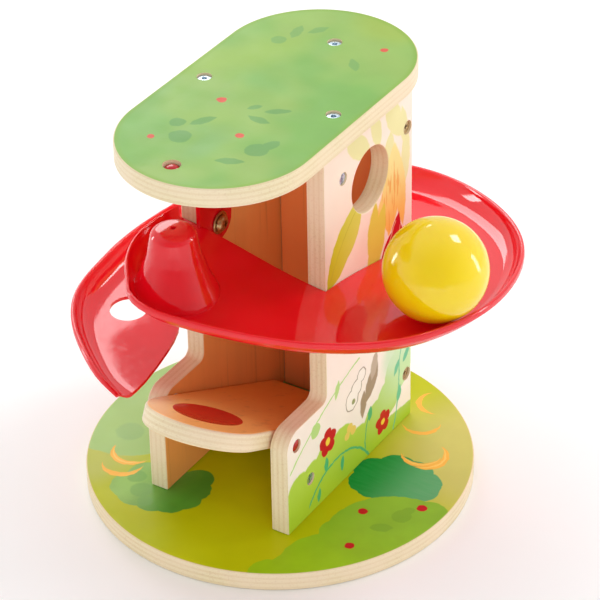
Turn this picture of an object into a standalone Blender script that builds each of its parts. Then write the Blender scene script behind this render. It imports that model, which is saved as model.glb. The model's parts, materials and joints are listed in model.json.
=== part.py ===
"""Wooden press-and-roll ball run for a small child.

A ball waits in a red spiral chute that winds once round a square plywood tower.
It rolls down, drops on the round front of a see-saw board, runs back into the tower,
and pressing the board's front throws it up to the start of the chute again.

Frame: metres, +Z up, origin at the centre of the base's underside, front towards -Y.
"""

import math

import bmesh
import bpy
from mathutils import Matrix, Vector

# ---------------------------------------------------------------- driving sizes
PLY = 0.012                 # thickness of every wooden panel
GAP = 0.0003                # air left between pieces that touch
WELD = 0.00001              # points closer than this are one point
EDGE = 0.0009               # eased edge of the panels

BASE_RADIUS = 0.120

TOWER_HALF = 0.0495         # half the tower's width over both sides
INNER_HALF = TOWER_HALF - PLY
FRONT_LOW = -0.0686         # front edge of the sides beside the lever
FRONT_HIGH = -0.0239        # front edge of the sides above the step
REAR = 0.0761               # rear edge of the sides
STEP_Z = 0.083              # height of the step
TOWER_TOP = 0.254
STEP_ROUND = 0.012          # rounded corner beside the lever
STEP_INNER_ROUND = 0.005    # and the tighter one above it

ROOF_HALF_WIDTH = 0.0588
ROOF_HALF_LENGTH = 0.1114
ROOF_Y = -0.0019

WINDOW_Y = 0.0272
WINDOW_Z = 0.2098
WINDOW_RADIUS = 0.0205

BACK_Y = REAR - PLY / 2     # middle of the back panel's thickness
ROOF_BOLT_Y = -0.003
BASE_BOLT_Y = -0.0433
SIDE_MID = TOWER_HALF - PLY / 2

BOLT_RADIUS = 0.002
HOLE_RADIUS = BOLT_RADIUS + GAP
HEAD_RADIUS = 0.0042
HEAD_HEIGHT = 0.0026
HEAD_SINK = 0.0012          # how far a bolt head lies below its surface
HOLE_END = 0.002            # how far a bolt hole is cut past the panel's edge
BARREL_RADIUS = 0.0038
BARREL_LENGTH = 0.009
ROOF_BARREL_Z = 0.2256
BASE_BARREL_Z = 0.0383

PANEL_SCREW_HEIGHTS = (0.0463, 0.2229)
SCREW_RADIUS = 0.0016
PANEL_PILOT = 0.022         # depth of the screw holes in the back panel's edges
REAR_LUG_PILOT = 0.009
SIDE_LUG_PILOT = 0.0105

# the see-saw board turns about the axle; at rest its front stands up
AXLE = Vector((0.0, -0.058, 0.072))
AXLE_RADIUS = 0.0022
LEVER_TILT = math.radians(27.0)
LEVER_HALF = 0.0362
LOBE_REACH = 0.0255         # axle to the centre of the round front
LEVER_REAR = 0.1190         # axle to the rear end
DISH_REACH = 0.0238
DISH_RADIUS = 0.0213
DISH_DEPTH = 0.0016
CAP_RADIUS = 0.0041
CAP_DEPTH = 0.0028

# the chute winds about CHUTE_AXIS; angles in degrees from +X, counter-clockwise
CHUTE_AXIS = Vector((0.0, 0.0260, 0.0))
CHUTE_START = 225.5
CHUTE_END = 613.0
CHUTE_SHEAR_FROM = 556.0    # from here the end edge starts to slant
CHUTE_END_INNER = 582.0     # where the slanted end edge meets the tower
CHUTE_TOP_Z = 0.181         # floor height at CHUTE_START
CHUTE_FALL = 0.0002256      # fall per degree at the start
CHUTE_EASE = 0.000000064    # how much the fall eases off, per degree squared
CHUTE_CLEAR = 0.0006        # gap between the chute and the tower
CHUTE_SKIN = 0.0023
WALL_HEIGHT = 0.0104
FLOOR_DISH = 0.0012
RIM = (                     # angle, distance of the rim from CHUTE_AXIS
    (225.5, 0.0715),
    (232.0, 0.0865),
    (239.0, 0.1050),
    (247.0, 0.1205),
    (253.5, 0.1305),
    (259.0, 0.1400),
    (266.0, 0.1430),
    (274.0, 0.1405),
    (288.0, 0.1382),
    (306.0, 0.1405),
    (325.0, 0.1432),
    (345.0, 0.1418),
    (365.0, 0.1385),
    (385.0, 0.1350),
    (415.0, 0.1265),
    (450.0, 0.1220),
    (490.0, 0.1165),
    (528.0, 0.1145),
    (556.0, 0.1240),
    (576.0, 0.1372),
    (597.0, 0.1412),
    (606.0, 0.1430),
    (613.0, 0.1415),
)
DROP_HOLE = Vector((-0.0851, -0.0332, 0.0))
DROP_HOLE_RADIUS = 0.0117

CONE = Vector((-0.0163, -0.0794, 0.0))
CONE_HEIGHT = 0.0404
CONE_FOOT = 0.0252
CONE_CROWN = 0.0070         # radius of its flat top
CONE_HOLE = 0.0016
CONE_SKIN = 0.0024
PLUG = Vector((-0.0042, -0.0947, 0.0))
PLUG_RADIUS = 0.0036
PLUG_HEAD_RADIUS = 0.0050
PLUG_SINK = 0.0048          # depth of the plug's recess

TAB_THICK = 0.0025
TAB_REAR = 0.0070
TAB_TOP = 0.1960
CHUTE_BOLT = Vector((-INNER_HALF, -0.0067, 0.1722))
TAB_HOLE = 0.0026
TAB_ROUND = 0.010
TAB_LOW_ROUND = 0.0125
LUG_DROP = 0.020
LUG_THICK = 0.0024
LUG_OFF_TOWER = CHUTE_CLEAR + 0.0002
LUG_SCREW_DROP = 0.0115     # lug screws below the chute's floor
LUG_SCREW_HEAD = 0.0034
WASHER_THICK = 0.0012
WASHER_RADIUS = 0.0072
LEVER_WASHER_RADIUS = 0.0055
PAN_HEAD = 0.0030           # height of the chute bolt's head
PAN_HEAD_RADIUS = 0.0052
TEE_BARREL = 0.0034
TEE_FLANGE = 0.0085
TEE_FLANGE_THICK = 0.0010
TEE_LENGTH = 0.0094

BALL_RADIUS = 0.0307
BALL_ANGLE = 344.5
BALL_LIFT = 0.0011          # above the middle of the floor, as the ball also leans on the wall
BALL_DISTANCE = 0.1158

STATION_STEP = 7.5          # degrees between the chute's sections
ROUND = 16                  # segments of a small round piece or hole
FINE = 28                   # segments of a larger one
SIDES = (("right", 1), ("left", -1))


# ---------------------------------------------------------------- helpers
def clear_scene():
    for obj in list(bpy.data.objects):
        bpy.data.objects.remove(obj, do_unlink=True)


def new_collection(name):
    collection = bpy.data.collections.new(name)
    bpy.context.scene.collection.children.link(collection)
    return collection


def material(name, colour, roughness, metallic=0.0):
    mat = bpy.data.materials.new(name)
    mat.use_nodes = True
    shader = mat.node_tree.nodes["Principled BSDF"]
    shader.inputs["Base Color"].default_value = (*colour, 1.0)
    shader.inputs["Roughness"].default_value = roughness
    shader.inputs["Metallic"].default_value = metallic
    return mat


def place(obj, collection, mat=None):
    for owner in list(obj.users_collection):
        owner.objects.unlink(obj)
    collection.objects.link(obj)
    if mat:
        obj.data.materials.clear()
        obj.data.materials.append(mat)
    return obj


def from_bmesh(name, bm):
    mesh = bpy.data.meshes.new(name)
    bm.normal_update()
    bm.to_mesh(mesh)
    bm.free()
    obj = bpy.data.objects.new(name, mesh)
    bpy.context.scene.collection.objects.link(obj)
    return obj


def shade(obj, angle=35.0):
    obj.data.shade_smooth()
    obj.data.set_sharp_from_angle(angle=math.radians(angle))
    return obj


def turn_matrix(axis):
    """Matrix that takes +Z onto a world axis."""
    return Vector((0, 0, 1)).rotation_difference(Vector(axis)).to_matrix().to_4x4()


def add_cylinder(bm, radius, length, centre, axis=(0, 0, 1), top_radius=None, segments=ROUND):
    matrix = Matrix.Translation(centre) @ turn_matrix(axis)
    top = radius if top_radius is None else top_radius
    bmesh.ops.create_cone(bm, cap_ends=True, segments=segments, radius1=radius,
                          radius2=top, depth=length, matrix=matrix)


def cylinder(name, radius, length, centre, axis=(0, 0, 1), top_radius=None, segments=ROUND):
    bm = bmesh.new()
    add_cylinder(bm, radius, length, centre, axis, top_radius, segments)
    return from_bmesh(name, bm)


def applied(obj):
    """The object with its modifiers made part of its mesh."""
    bpy.context.view_layer.update()
    graph = bpy.context.evaluated_depsgraph_get()
    mesh = bpy.data.meshes.new_from_object(obj.evaluated_get(graph))
    bm = bmesh.new()
    bm.from_mesh(mesh)
    bmesh.ops.remove_doubles(bm, verts=bm.verts, dist=WELD)
    bm.to_mesh(mesh)
    bm.free()
    obj.modifiers.clear()
    obj.data = mesh
    return obj


def turned(name, profile, origin, axis=(0, 0, 1), segments=ROUND, closed=False):
    """Turned piece: a (radius, height) profile, outer side downwards, and a Screw modifier."""
    count = len(profile)
    links = [(i, i + 1) for i in range(count - 1)]
    if closed:
        links.append((count - 1, 0))
    mesh = bpy.data.meshes.new(name)
    mesh.from_pydata([(radius, 0.0, height) for radius, height in profile], links, [])
    obj = bpy.data.objects.new(name, mesh)
    bpy.context.scene.collection.objects.link(obj)
    obj.matrix_world = Matrix.Translation(origin) @ turn_matrix(axis)
    screw = obj.modifiers.new("turned", "SCREW")
    screw.axis = "Z"
    screw.angle = 2 * math.pi
    screw.steps = segments
    screw.render_steps = segments
    screw.use_merge_vertices = True
    screw.merge_threshold = WELD
    return applied(obj)


def ring(name, bore, radius, thick, origin, axis):
    """Flat ring, such as a washer."""
    profile = [(bore, thick), (radius, thick), (radius, 0), (bore, 0)]
    return turned(name, profile, origin, axis, closed=True)


def plate(name, outline, thickness, mat_frame):
    """Flat panel: a filled 2D curve, extruded, then made a mesh and moved by mat_frame."""
    curve = bpy.data.curves.new(name, "CURVE")
    curve.dimensions = "2D"
    curve.fill_mode = "BOTH"
    curve.extrude = thickness / 2
    spline = curve.splines.new("POLY")
    spline.points.add(len(outline) - 1)
    for point, (x, y) in zip(spline.points, outline):
        point.co = (x, y, 0.0, 1.0)
    spline.use_cyclic_u = True
    source = bpy.data.objects.new(name + "_outline", curve)
    bpy.context.scene.collection.objects.link(source)
    source.matrix_world = mat_frame
    bpy.context.view_layer.update()
    graph = bpy.context.evaluated_depsgraph_get()
    mesh = bpy.data.meshes.new_from_object(source.evaluated_get(graph))
    bm = bmesh.new()
    bm.from_mesh(mesh)
    bmesh.ops.remove_doubles(bm, verts=bm.verts, dist=WELD)
    bmesh.ops.dissolve_limit(bm, angle_limit=0.001, verts=bm.verts, edges=bm.edges)
    bm.to_mesh(mesh)
    bm.free()
    mesh.name = name
    obj = bpy.data.objects.new(name, mesh)
    bpy.context.scene.collection.objects.link(obj)
    obj.matrix_world = source.matrix_world
    bpy.data.objects.remove(source, do_unlink=True)
    return obj


def arc(cx, cy, radius, start, end, steps):
    """Points on an arc, angles in degrees."""
    points = []
    for i in range(steps + 1):
        angle = math.radians(start + (end - start) * i / steps)
        points.append((cx + radius * math.cos(angle), cy + radius * math.sin(angle)))
    return points


def ease_edges(obj, width=EDGE, segments=1, angle=50.0):
    bevel = obj.modifiers.new("eased_edges", "BEVEL")
    bevel.width = width
    bevel.segments = segments
    bevel.limit_method = "ANGLE"
    bevel.angle_limit = math.radians(angle)
    return bevel


def cut(obj, cutter, cutters):
    place(cutter, cutters)
    cutter.hide_render = True
    cutter.display_type = "WIRE"
    boolean = obj.modifiers.new("cut_" + cutter.name, "BOOLEAN")
    boolean.operation = "DIFFERENCE"
    boolean.solver = "EXACT"
    boolean.object = cutter


def joined(obj, piece, cutters):
    place(piece, cutters)
    piece.hide_render = True
    piece.display_type = "WIRE"
    boolean = obj.modifiers.new("join_" + piece.name, "BOOLEAN")
    boolean.operation = "UNION"
    boolean.solver = "EXACT"
    boolean.object = piece


# ---------------------------------------------------------------- wooden panels
SIDE_FRAME = Matrix(((0, 0, 1, 0), (1, 0, 0, 0), (0, 1, 0, 0), (0, 0, 0, 1)))


def drill(obj, name, radius, length, centre, axis, cutters, segments=ROUND):
    cut(obj, cylinder(name, radius, length, centre, axis, segments=segments), cutters)


def make_base(parts, cutters, wood):
    base = cylinder("base_disc", BASE_RADIUS, PLY, (0, 0, PLY / 2), segments=72)
    ease_edges(base)
    for label, x, y in bolt_places(BASE_BOLT_Y):
        drill(base, "base_hole_" + label, HOLE_RADIUS, 3 * PLY, (x, y, PLY / 2), (0, 0, 1), cutters)
        sink = HEAD_SINK + HEAD_HEIGHT + GAP
        drill(base, "base_sink_" + label, HEAD_RADIUS + GAP, 2 * sink, (x, y, 0), (0, 0, 1), cutters)
    return place(shade(base), parts, wood)


def bolt_places(side_y):
    return (
        ("right", SIDE_MID, side_y),
        ("left", -SIDE_MID, side_y),
        ("back", 0.0, BACK_Y),
    )


def side_outline():
    """Side panel in (y, z): a tall back part and a low front part with rounded corners."""
    low = PLY + GAP
    points = [(FRONT_LOW, low), (REAR, low), (REAR, TOWER_TOP), (FRONT_HIGH, TOWER_TOP)]
    inner, outer = STEP_INNER_ROUND, STEP_ROUND
    points += arc(FRONT_HIGH - inner, STEP_Z + inner, inner, 0, -90, 6)
    points += arc(FRONT_LOW + outer, STEP_Z - outer, outer, 90, 180, 6)
    return points


def make_side(sign, parts, cutters, wood):
    name = "right_side_panel" if sign > 0 else "left_side_panel"
    tag = "r_" if sign > 0 else "l_"
    frame = Matrix.Translation((sign * SIDE_MID, 0, 0)) @ SIDE_FRAME
    panel = plate(name, side_outline(), PLY, frame)
    ease_edges(panel)
    x_out = sign * TOWER_HALF
    along_x = (1, 0, 0)
    if sign > 0:
        drill(panel, "window", WINDOW_RADIUS, 3 * PLY, (x_out, WINDOW_Y, WINDOW_Z), along_x, cutters,
              segments=2 * FINE)
    # bolts run up and down the panel's middle into cross nuts let in from outside
    for label, y, z_mid, z_edge in (
        ("roof", ROOF_BOLT_Y, ROOF_BARREL_Z, TOWER_TOP),
        ("base", BASE_BOLT_Y, BASE_BARREL_Z, PLY),
    ):
        reach = z_edge - z_mid
        depth = abs(reach) + 2 * BARREL_RADIUS
        centre = (sign * SIDE_MID, y, z_edge - math.copysign(depth / 2 - HOLE_END, reach))
        drill(panel, tag + label + "_bolt_hole", HOLE_RADIUS, depth, centre, (0, 0, 1), cutters)
        drill(panel, tag + label + "_nut_hole", BARREL_RADIUS + GAP, 2 * (BARREL_LENGTH + 0.001),
              (x_out, y, z_mid), along_x, cutters)
    for index, z in enumerate(PANEL_SCREW_HEIGHTS):
        drill(panel, f"{tag}screw_hole_{index}", SCREW_RADIUS + GAP, 3 * PLY, (x_out, BACK_Y, z),
              along_x, cutters)
        sink = HEAD_SINK + HEAD_HEIGHT + GAP
        drill(panel, f"{tag}screw_sink_{index}", HEAD_RADIUS + GAP, 2 * sink, (x_out, BACK_Y, z),
              along_x, cutters)
    drill(panel, tag + "axle_hole", AXLE_RADIUS + GAP, 3 * PLY, (x_out, AXLE.y, AXLE.z), along_x, cutters)
    drill(panel, tag + "cap_hole", CAP_RADIUS + GAP, 2 * (CAP_DEPTH + GAP), (x_out, AXLE.y, AXLE.z),
          along_x, cutters)
    if sign < 0:
        y, z = CHUTE_BOLT.y, CHUTE_BOLT.z
        drill(panel, "tee_barrel_hole", TEE_BARREL + GAP, 3 * PLY, (x_out, y, z), along_x, cutters)
        spot = left_lug_screw()
        drill(panel, "side_lug_pilot", SCREW_RADIUS + GAP, 2 * SIDE_LUG_PILOT, spot, along_x, cutters)
        sink = TEE_FLANGE_THICK + 2 * GAP
        drill(panel, "tee_flange_hole", TEE_FLANGE + GAP, 2 * sink, (x_out, y, z), along_x, cutters)
    return place(shade(panel), parts, wood)


def make_back(parts, cutters, wood):
    half = INNER_HALF - GAP
    low = PLY + GAP
    outline = [(-half, low), (half, low), (half, TOWER_TOP), (-half, TOWER_TOP)]
    frame = Matrix.Translation((0, BACK_Y, 0)) @ Matrix.Rotation(math.radians(90), 4, "X")
    panel = plate("back_panel", outline, PLY, frame)
    ease_edges(panel)
    for label, z_mid, z_edge in (("roof", ROOF_BARREL_Z, TOWER_TOP), ("base", BASE_BARREL_Z, PLY)):
        reach = z_edge - z_mid
        depth = abs(reach) + 2 * BARREL_RADIUS
        centre = (0, BACK_Y, z_edge - math.copysign(depth / 2 - HOLE_END, reach))
        drill(panel, "b_" + label + "_bolt_hole", HOLE_RADIUS, depth, centre, (0, 0, 1), cutters)
        drill(panel, "b_" + label + "_nut_hole", BARREL_RADIUS + GAP, 2 * (BARREL_LENGTH + 0.001),
              (0, REAR, z_mid), (0, 1, 0), cutters)
    for index, z in enumerate(PANEL_SCREW_HEIGHTS):
        for tag, sign in (("r", 1), ("l", -1)):
            drill(panel, f"b_pilot_{tag}{index}", SCREW_RADIUS + GAP, 2 * PANEL_PILOT,
                  (sign * INNER_HALF, BACK_Y, z), (1, 0, 0), cutters)
    for index, (x, z) in enumerate(rear_lug_screws()):
        drill(panel, f"b_lug_pilot_{index}", SCREW_RADIUS + GAP, 2 * REAR_LUG_PILOT, (x, REAR, z),
              (0, 1, 0), cutters)
    return place(shade(panel), parts, wood)


def make_roof(parts, cutters, wood):
    straight = ROOF_HALF_LENGTH - ROOF_HALF_WIDTH
    outline = arc(0, ROOF_Y + straight, ROOF_HALF_WIDTH, 0, 180, 24)
    outline += arc(0, ROOF_Y - straight, ROOF_HALF_WIDTH, 180, 360, 24)
    low = TOWER_TOP + GAP
    top = low + PLY
    roof = plate("roof_panel", outline, PLY, Matrix.Translation((0, 0, low + PLY / 2)))
    ease_edges(roof)
    sink = HEAD_SINK + HEAD_HEIGHT + GAP
    for label, x, y in bolt_places(ROOF_BOLT_Y):
        drill(roof, "roof_hole_" + label, HOLE_RADIUS, 3 * PLY, (x, y, low + PLY / 2), (0, 0, 1), cutters)
        drill(roof, "roof_sink_" + label, HEAD_RADIUS + GAP, 2 * sink, (x, y, top), (0, 0, 1), cutters)
    x, y = PLUG.x, PLUG.y
    drill(roof, "plug_hole", PLUG_RADIUS + GAP, 3 * PLY, (x, y, low), (0, 0, 1), cutters)
    drill(roof, "plug_sink", PLUG_HEAD_RADIUS + GAP, 2 * PLUG_SINK, (x, y, top), (0, 0, 1), cutters)
    return place(shade(roof), parts, wood)


# ---------------------------------------------------------------- lever
def lever_point(along, up):
    """World point from the lever's own axes: along the board to the rear, and up from it."""
    c, s = math.cos(LEVER_TILT), math.sin(LEVER_TILT)
    return Vector((0, AXLE.y + along * c + up * s, AXLE.z - along * s + up * c))


def make_lever(parts, cutters, wood):
    outline = [(LEVER_HALF, LEVER_REAR), (-LEVER_HALF, LEVER_REAR)]
    outline += arc(0, -LOBE_REACH, LEVER_HALF, 180, 360, 24)
    tilt = Matrix.Rotation(-LEVER_TILT, 4, "X")
    board = plate("press_lever", outline, PLY, Matrix.Translation(AXLE) @ tilt)
    ease_edges(board, width=0.0022, segments=2)
    drill(board, "lever_axle_hole", AXLE_RADIUS + GAP, 0.1, AXLE, (1, 0, 0), cutters)
    # the thumb dish is a slice of a big ball sunk into the top of the round front
    ball = (DISH_RADIUS ** 2 + DISH_DEPTH ** 2) / (2 * DISH_DEPTH)
    steps = 6
    profile = [(0.0, PLY)]
    widest = math.asin(DISH_RADIUS / ball)
    profile.append((DISH_RADIUS, PLY))
    for i in range(steps + 1):
        angle = widest * (1 - i / steps)
        profile.append((ball * math.sin(angle), PLY / 2 - DISH_DEPTH + ball * (1 - math.cos(angle))))
    normal = lever_point(0, 1) - lever_point(0, 0)
    dish = turned("thumb_dish", profile, lever_point(-DISH_REACH, 0), normal, segments=FINE)
    cut(board, dish, cutters)
    return place(shade(board), parts, wood)


def make_axle(parts, steel, red, nylon):
    length = 2 * (TOWER_HALF - CAP_DEPTH - 3 * GAP)
    place(shade(cylinder("lever_axle", AXLE_RADIUS, length, AXLE, (1, 0, 0))), parts, steel)
    cap = [(0, CAP_DEPTH - 0.0002), (0.0026, CAP_DEPTH - 0.0004), (CAP_RADIUS, CAP_DEPTH - 0.0014),
           (CAP_RADIUS, 0), (0, 0)]
    thick = INNER_HALF - LEVER_HALF - 2 * GAP
    for side, sign in SIDES:
        at = Vector((sign * (TOWER_HALF - CAP_DEPTH), AXLE.y, AXLE.z))
        place(shade(turned("axle_cap_" + side, cap, at, (sign, 0, 0))), parts, red)
        at = Vector((sign * (LEVER_HALF + GAP), AXLE.y, AXLE.z))
        bore = AXLE_RADIUS + GAP
        washer = ring("lever_washer_" + side, bore, LEVER_WASHER_RADIUS, thick, at, (sign, 0, 0))
        place(shade(washer), parts, nylon)


# ---------------------------------------------------------------- chute
def chute_floor(angle):
    turn = angle - 225.0
    return CHUTE_TOP_Z - CHUTE_FALL * turn + CHUTE_EASE * turn * turn


def spline_value(points, x):
    """Smooth curve through the (x, value) points, cubic between neighbours."""
    index = 0
    while index < len(points) - 2 and x > points[index + 1][0]:
        index += 1
    slopes = []
    for k in (index, index + 1):
        left = points[max(k - 1, 0)]
        right = points[min(k + 1, len(points) - 1)]
        slopes.append((right[1] - left[1]) / (right[0] - left[0]))
    (x0, y0), (x1, y1) = points[index], points[index + 1]
    span = x1 - x0
    t = (x - x0) / span
    h00 = 2 * t ** 3 - 3 * t ** 2 + 1
    h10 = t ** 3 - 2 * t ** 2 + t
    h01 = -2 * t ** 3 + 3 * t ** 2
    h11 = t ** 3 - t ** 2
    return h00 * y0 + h10 * span * slopes[0] + h01 * y1 + h11 * span * slopes[1]


def tower_distance(angle):
    """Distance from CHUTE_AXIS to the tower's outline, plus clearance, at an angle."""
    c, s = math.cos(math.radians(angle)), math.sin(math.radians(angle))
    half = TOWER_HALF + CHUTE_CLEAR
    front = CHUTE_AXIS.y - (FRONT_HIGH - CHUTE_CLEAR)
    rear = REAR + CHUTE_CLEAR - CHUTE_AXIS.y
    reach = [half / abs(c)] if abs(c) > 1e-6 else []
    if abs(s) > 1e-6:
        reach.append((rear if s > 0 else front) / abs(s))
    return min(reach)


def chute_section(width, wall):
    """Closed cross-section as (fraction of width used, offset from it, height) points."""
    crease = min(0.0175, 0.8 * width)
    k = crease / 0.0175
    skin = CHUTE_SKIN
    w = wall / WALL_HEIGHT
    dish = -FLOOR_DISH * k
    near = 0.12 * (width - crease)
    top = [
        (0.0, 0.0),
        (near, 0.0),
        (0.5 * (width - crease), 0.5 * dish),
        (width - crease, dish),
        (width - 0.0108 * k, dish + 0.0010 * w),
        (width - 0.0066 * k, dish + 0.0036 * w),
        (width - 0.0037 * k, 0.0066 * w),
        (width - 0.0024 * k, 0.0101 * w),
        (width - 0.0008 * k, 0.0106 * w),
        (width, 0.0096 * w),
        (width + 0.0001 * k, 0.0070 * w),
        (width - 0.0010 * k, 0.0060 * w),
    ]
    under = [
        (width - 0.0028 * k, 0.0052 * w - 0.0002),
        (width - 0.0056 * k, 0.0020 * w - 0.0012),
        (width - 0.0104 * k, dish - skin + 0.0006 * w),
        (width - crease, dish - skin),
        (0.5 * (width - crease), 0.5 * dish - skin),
        (near, -skin),
        (0.0, -skin),
    ]
    return top + under


def chute_stations():
    """Angles of the chute's sections; one lies at each corner of the tower."""
    corners = []
    half = TOWER_HALF + CHUTE_CLEAR
    for turn in (0, 360):
        for x in (half, -half):
            for y in (FRONT_HIGH - CHUTE_CLEAR, REAR + CHUTE_CLEAR):
                corners.append(math.degrees(math.atan2(y - CHUTE_AXIS.y, x)) % 360 + turn)
    count = int((CHUTE_END - CHUTE_START) / STATION_STEP)
    angles = [CHUTE_START + (CHUTE_END - CHUTE_START) * i / count for i in range(count + 1)]
    for corner in corners:
        if CHUTE_START + 1 < corner < CHUTE_SHEAR_FROM:
            nearest = min(angles, key=lambda a: abs(a - corner))
            angles[angles.index(nearest)] = corner
    return angles


def sheared_angle(angle, across):
    """Near the end the sections lean over, so the chute's end edge runs front to back."""
    if angle <= CHUTE_SHEAR_FROM:
        return angle
    share = (angle - CHUTE_SHEAR_FROM) / (CHUTE_END - CHUTE_SHEAR_FROM)
    span = CHUTE_END - CHUTE_END_INNER
    end = CHUTE_END_INNER + span * (1 - (1 - min(across, 1.0)) ** 2)
    return CHUTE_SHEAR_FROM + share * (end - CHUTE_SHEAR_FROM)


def wall_scale(angle):
    """The wall is full height, and rounds off at both ends."""
    start = min(1.0, 0.75 + (angle - CHUTE_START) / 30.0)
    left = (CHUTE_END - angle) / 12.0
    end = 1.0 if left >= 1 else 0.35 + 0.65 * math.sin(math.pi / 2 * max(left, 0.0))
    return min(start, end)


def make_chute_loft():
    bm = bmesh.new()
    loops = []
    for angle in chute_stations():
        loop = []
        wall = WALL_HEIGHT * wall_scale(angle)
        for k in range(len(chute_section(0.1, wall))):
            # widths differ across a leaning section, so each point finds its own
            guess = angle
            for _ in range(6):
                width = spline_value(RIM, guess) - tower_distance(guess)
                offset, height = chute_section(width, wall)[k]
                guess = sheared_angle(angle, offset / width)
            radius = tower_distance(guess) + offset
            c, s = math.cos(math.radians(guess)), math.sin(math.radians(guess))
            loop.append(bm.verts.new((CHUTE_AXIS.x + radius * c, CHUTE_AXIS.y + radius * s,
                                      chute_floor(guess) + height)))
        loops.append(loop)
    count = len(loops[0])
    for before, after in zip(loops, loops[1:]):
        for k in range(count):
            n = (k + 1) % count
            bm.faces.new((before[k], before[n], after[n], after[k]))
    bm.faces.new(loops[0][::-1])
    bm.faces.new(loops[-1])
    bmesh.ops.recalc_face_normals(bm, faces=bm.faces)
    bmesh.ops.triangulate(bm, faces=bm.faces)
    return from_bmesh("spiral_chute", bm)


def settle_on_floor(obj, top, foot):
    """Lower or lift each point of an upright turned piece, so its foot follows the sloping floor."""
    for vertex in obj.data.vertices:
        x, y, z = obj.matrix_world @ vertex.co
        angle = math.degrees(math.atan2(y - CHUTE_AXIS.y, x - CHUTE_AXIS.x)) % 360
        share = min(1.0, (top - z) / (top - foot))
        vertex.co.z += share * (chute_floor(angle) - foot)
    return obj


def rear_lug_screws():
    return [(x, chute_floor(450.0) - LUG_SCREW_DROP) for x in (-0.018, 0.018)]


def left_lug_screw():
    return Vector((-TOWER_HALF, 0.030, chute_floor(540.0) - LUG_SCREW_DROP))


def block(name, low, high):
    bm = bmesh.new()
    size = Vector(high) - Vector(low)
    centre = (Vector(high) + Vector(low)) / 2
    matrix = Matrix.Translation(centre) @ Matrix.Diagonal((*size, 1.0))
    bmesh.ops.create_cube(bm, size=1.0, matrix=matrix)
    return from_bmesh(name, bm)


def merged(name, pieces):
    """One mesh holding several separate bodies, in world space."""
    bm = bmesh.new()
    for piece in pieces:
        mesh = piece.data.copy()
        mesh.transform(piece.matrix_world)
        bm.from_mesh(mesh)
        bpy.data.objects.remove(piece, do_unlink=True)
    return from_bmesh(name, bm)


def cone_shapes():
    """The hat at the chute's start, and the hollow under it."""
    foot = chute_floor(cone_angle())
    top = foot + CONE_HEIGHT
    origin = (CONE.x, CONE.y, 0)
    flank = [(0.13, CONE_FOOT - 0.0024), (0.33, CONE_FOOT - 0.0058), (0.60, CONE_FOOT - 0.0096)]
    outer = [(0, top), (CONE_CROWN, top)]
    outer += arc(CONE_CROWN, top - 0.0066, 0.0066, 75, 15, 4)
    outer += [(radius, foot + share * CONE_HEIGHT) for share, radius in reversed(flank)]
    outer += [(CONE_FOOT, foot + 0.0004), (CONE_FOOT, foot - 0.0014), (0, foot - 0.0014)]
    roof = top - CONE_SKIN
    inner = [(0, roof), (CONE_CROWN, roof)]
    inner += [(radius - CONE_SKIN, foot + share * CONE_HEIGHT) for share, radius in reversed(flank)]
    inner += [(CONE_FOOT - CONE_SKIN, foot - 0.0060), (0, foot - 0.0060)]
    hat = settle_on_floor(turned("cone_outside", outer, origin, segments=FINE), top, foot)
    hollow = settle_on_floor(turned("cone_inside", inner, origin, segments=FINE), top, foot)
    return hat, hollow


def cone_angle():
    offset = CONE - CHUTE_AXIS
    return math.degrees(math.atan2(offset.y, offset.x)) % 360


def lug_blocks():
    """Lugs that hang from the chute's inner edge at the rear and on the left."""
    near = LUG_OFF_TOWER
    rear_z = chute_floor(450.0)
    rear = block("rear_lug", (-0.028, REAR + near, rear_z - LUG_DROP),
                 (0.028, REAR + near + LUG_THICK, rear_z - 0.0013))
    spot = left_lug_screw()
    left = block("left_lug", (-TOWER_HALF - near - LUG_THICK, spot.y - 0.010, spot.z - 0.0085),
                 (-TOWER_HALF - near, spot.y + 0.010, chute_floor(540.0) - 0.0013))
    return [rear, left]


def make_chute(parts, cutters, red):
    chute = make_chute_loft()
    hat, hollow = cone_shapes()
    tab = tab_plate(-INNER_HALF + GAP, chute_floor(240.0))
    joined(chute, merged("chute_additions", [hat, tab] + lug_blocks()), cutters)
    along_x, along_y, up = (1, 0, 0), (0, 1, 0), (0, 0, 1)
    screw_hole = SCREW_RADIUS + GAP
    holes = [hollow]
    top = Vector((CONE.x, CONE.y, chute_floor(cone_angle()) + CONE_HEIGHT))
    holes.append(cylinder("cone_hole", CONE_HOLE, 0.013, top, up))
    holes.append(cylinder("tab_hole", TAB_HOLE, 0.010, CHUTE_BOLT, along_x))
    for index, (x, z) in enumerate(rear_lug_screws()):
        holes.append(cylinder(f"rear_lug_hole_{index}", screw_hole, 0.012, (x, REAR, z), along_y))
    holes.append(cylinder("left_lug_hole", screw_hole, 0.012, left_lug_screw(), along_x))
    drop = Vector((DROP_HOLE.x, DROP_HOLE.y, chute_floor(577.0)))
    holes.append(cylinder("drop_hole", DROP_HOLE_RADIUS, 0.03, drop, up, segments=FINE))
    cut(chute, merged("chute_removals", holes), cutters)
    return place(shade(chute), parts, red)


def tab_plate(face_x, floor):
    """Upright tab with round corners against the inside of the left side panel."""
    front = FRONT_HIGH - CHUTE_CLEAR - 0.0018
    r, low_r = TAB_ROUND, TAB_LOW_ROUND
    low = CHUTE_BOLT.z - low_r
    outline = [(front, TAB_TOP)]
    outline += [(front, floor - 0.0022)]
    outline += arc(TAB_REAR - low_r, low + low_r, low_r, -90, 0, 6)
    outline += arc(TAB_REAR - r, TAB_TOP - r, r, 0, 90, 6)
    frame = Matrix.Translation((face_x + TAB_THICK / 2, 0, 0)) @ SIDE_FRAME
    return plate("fixing_tab", outline, TAB_THICK, frame)


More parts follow.
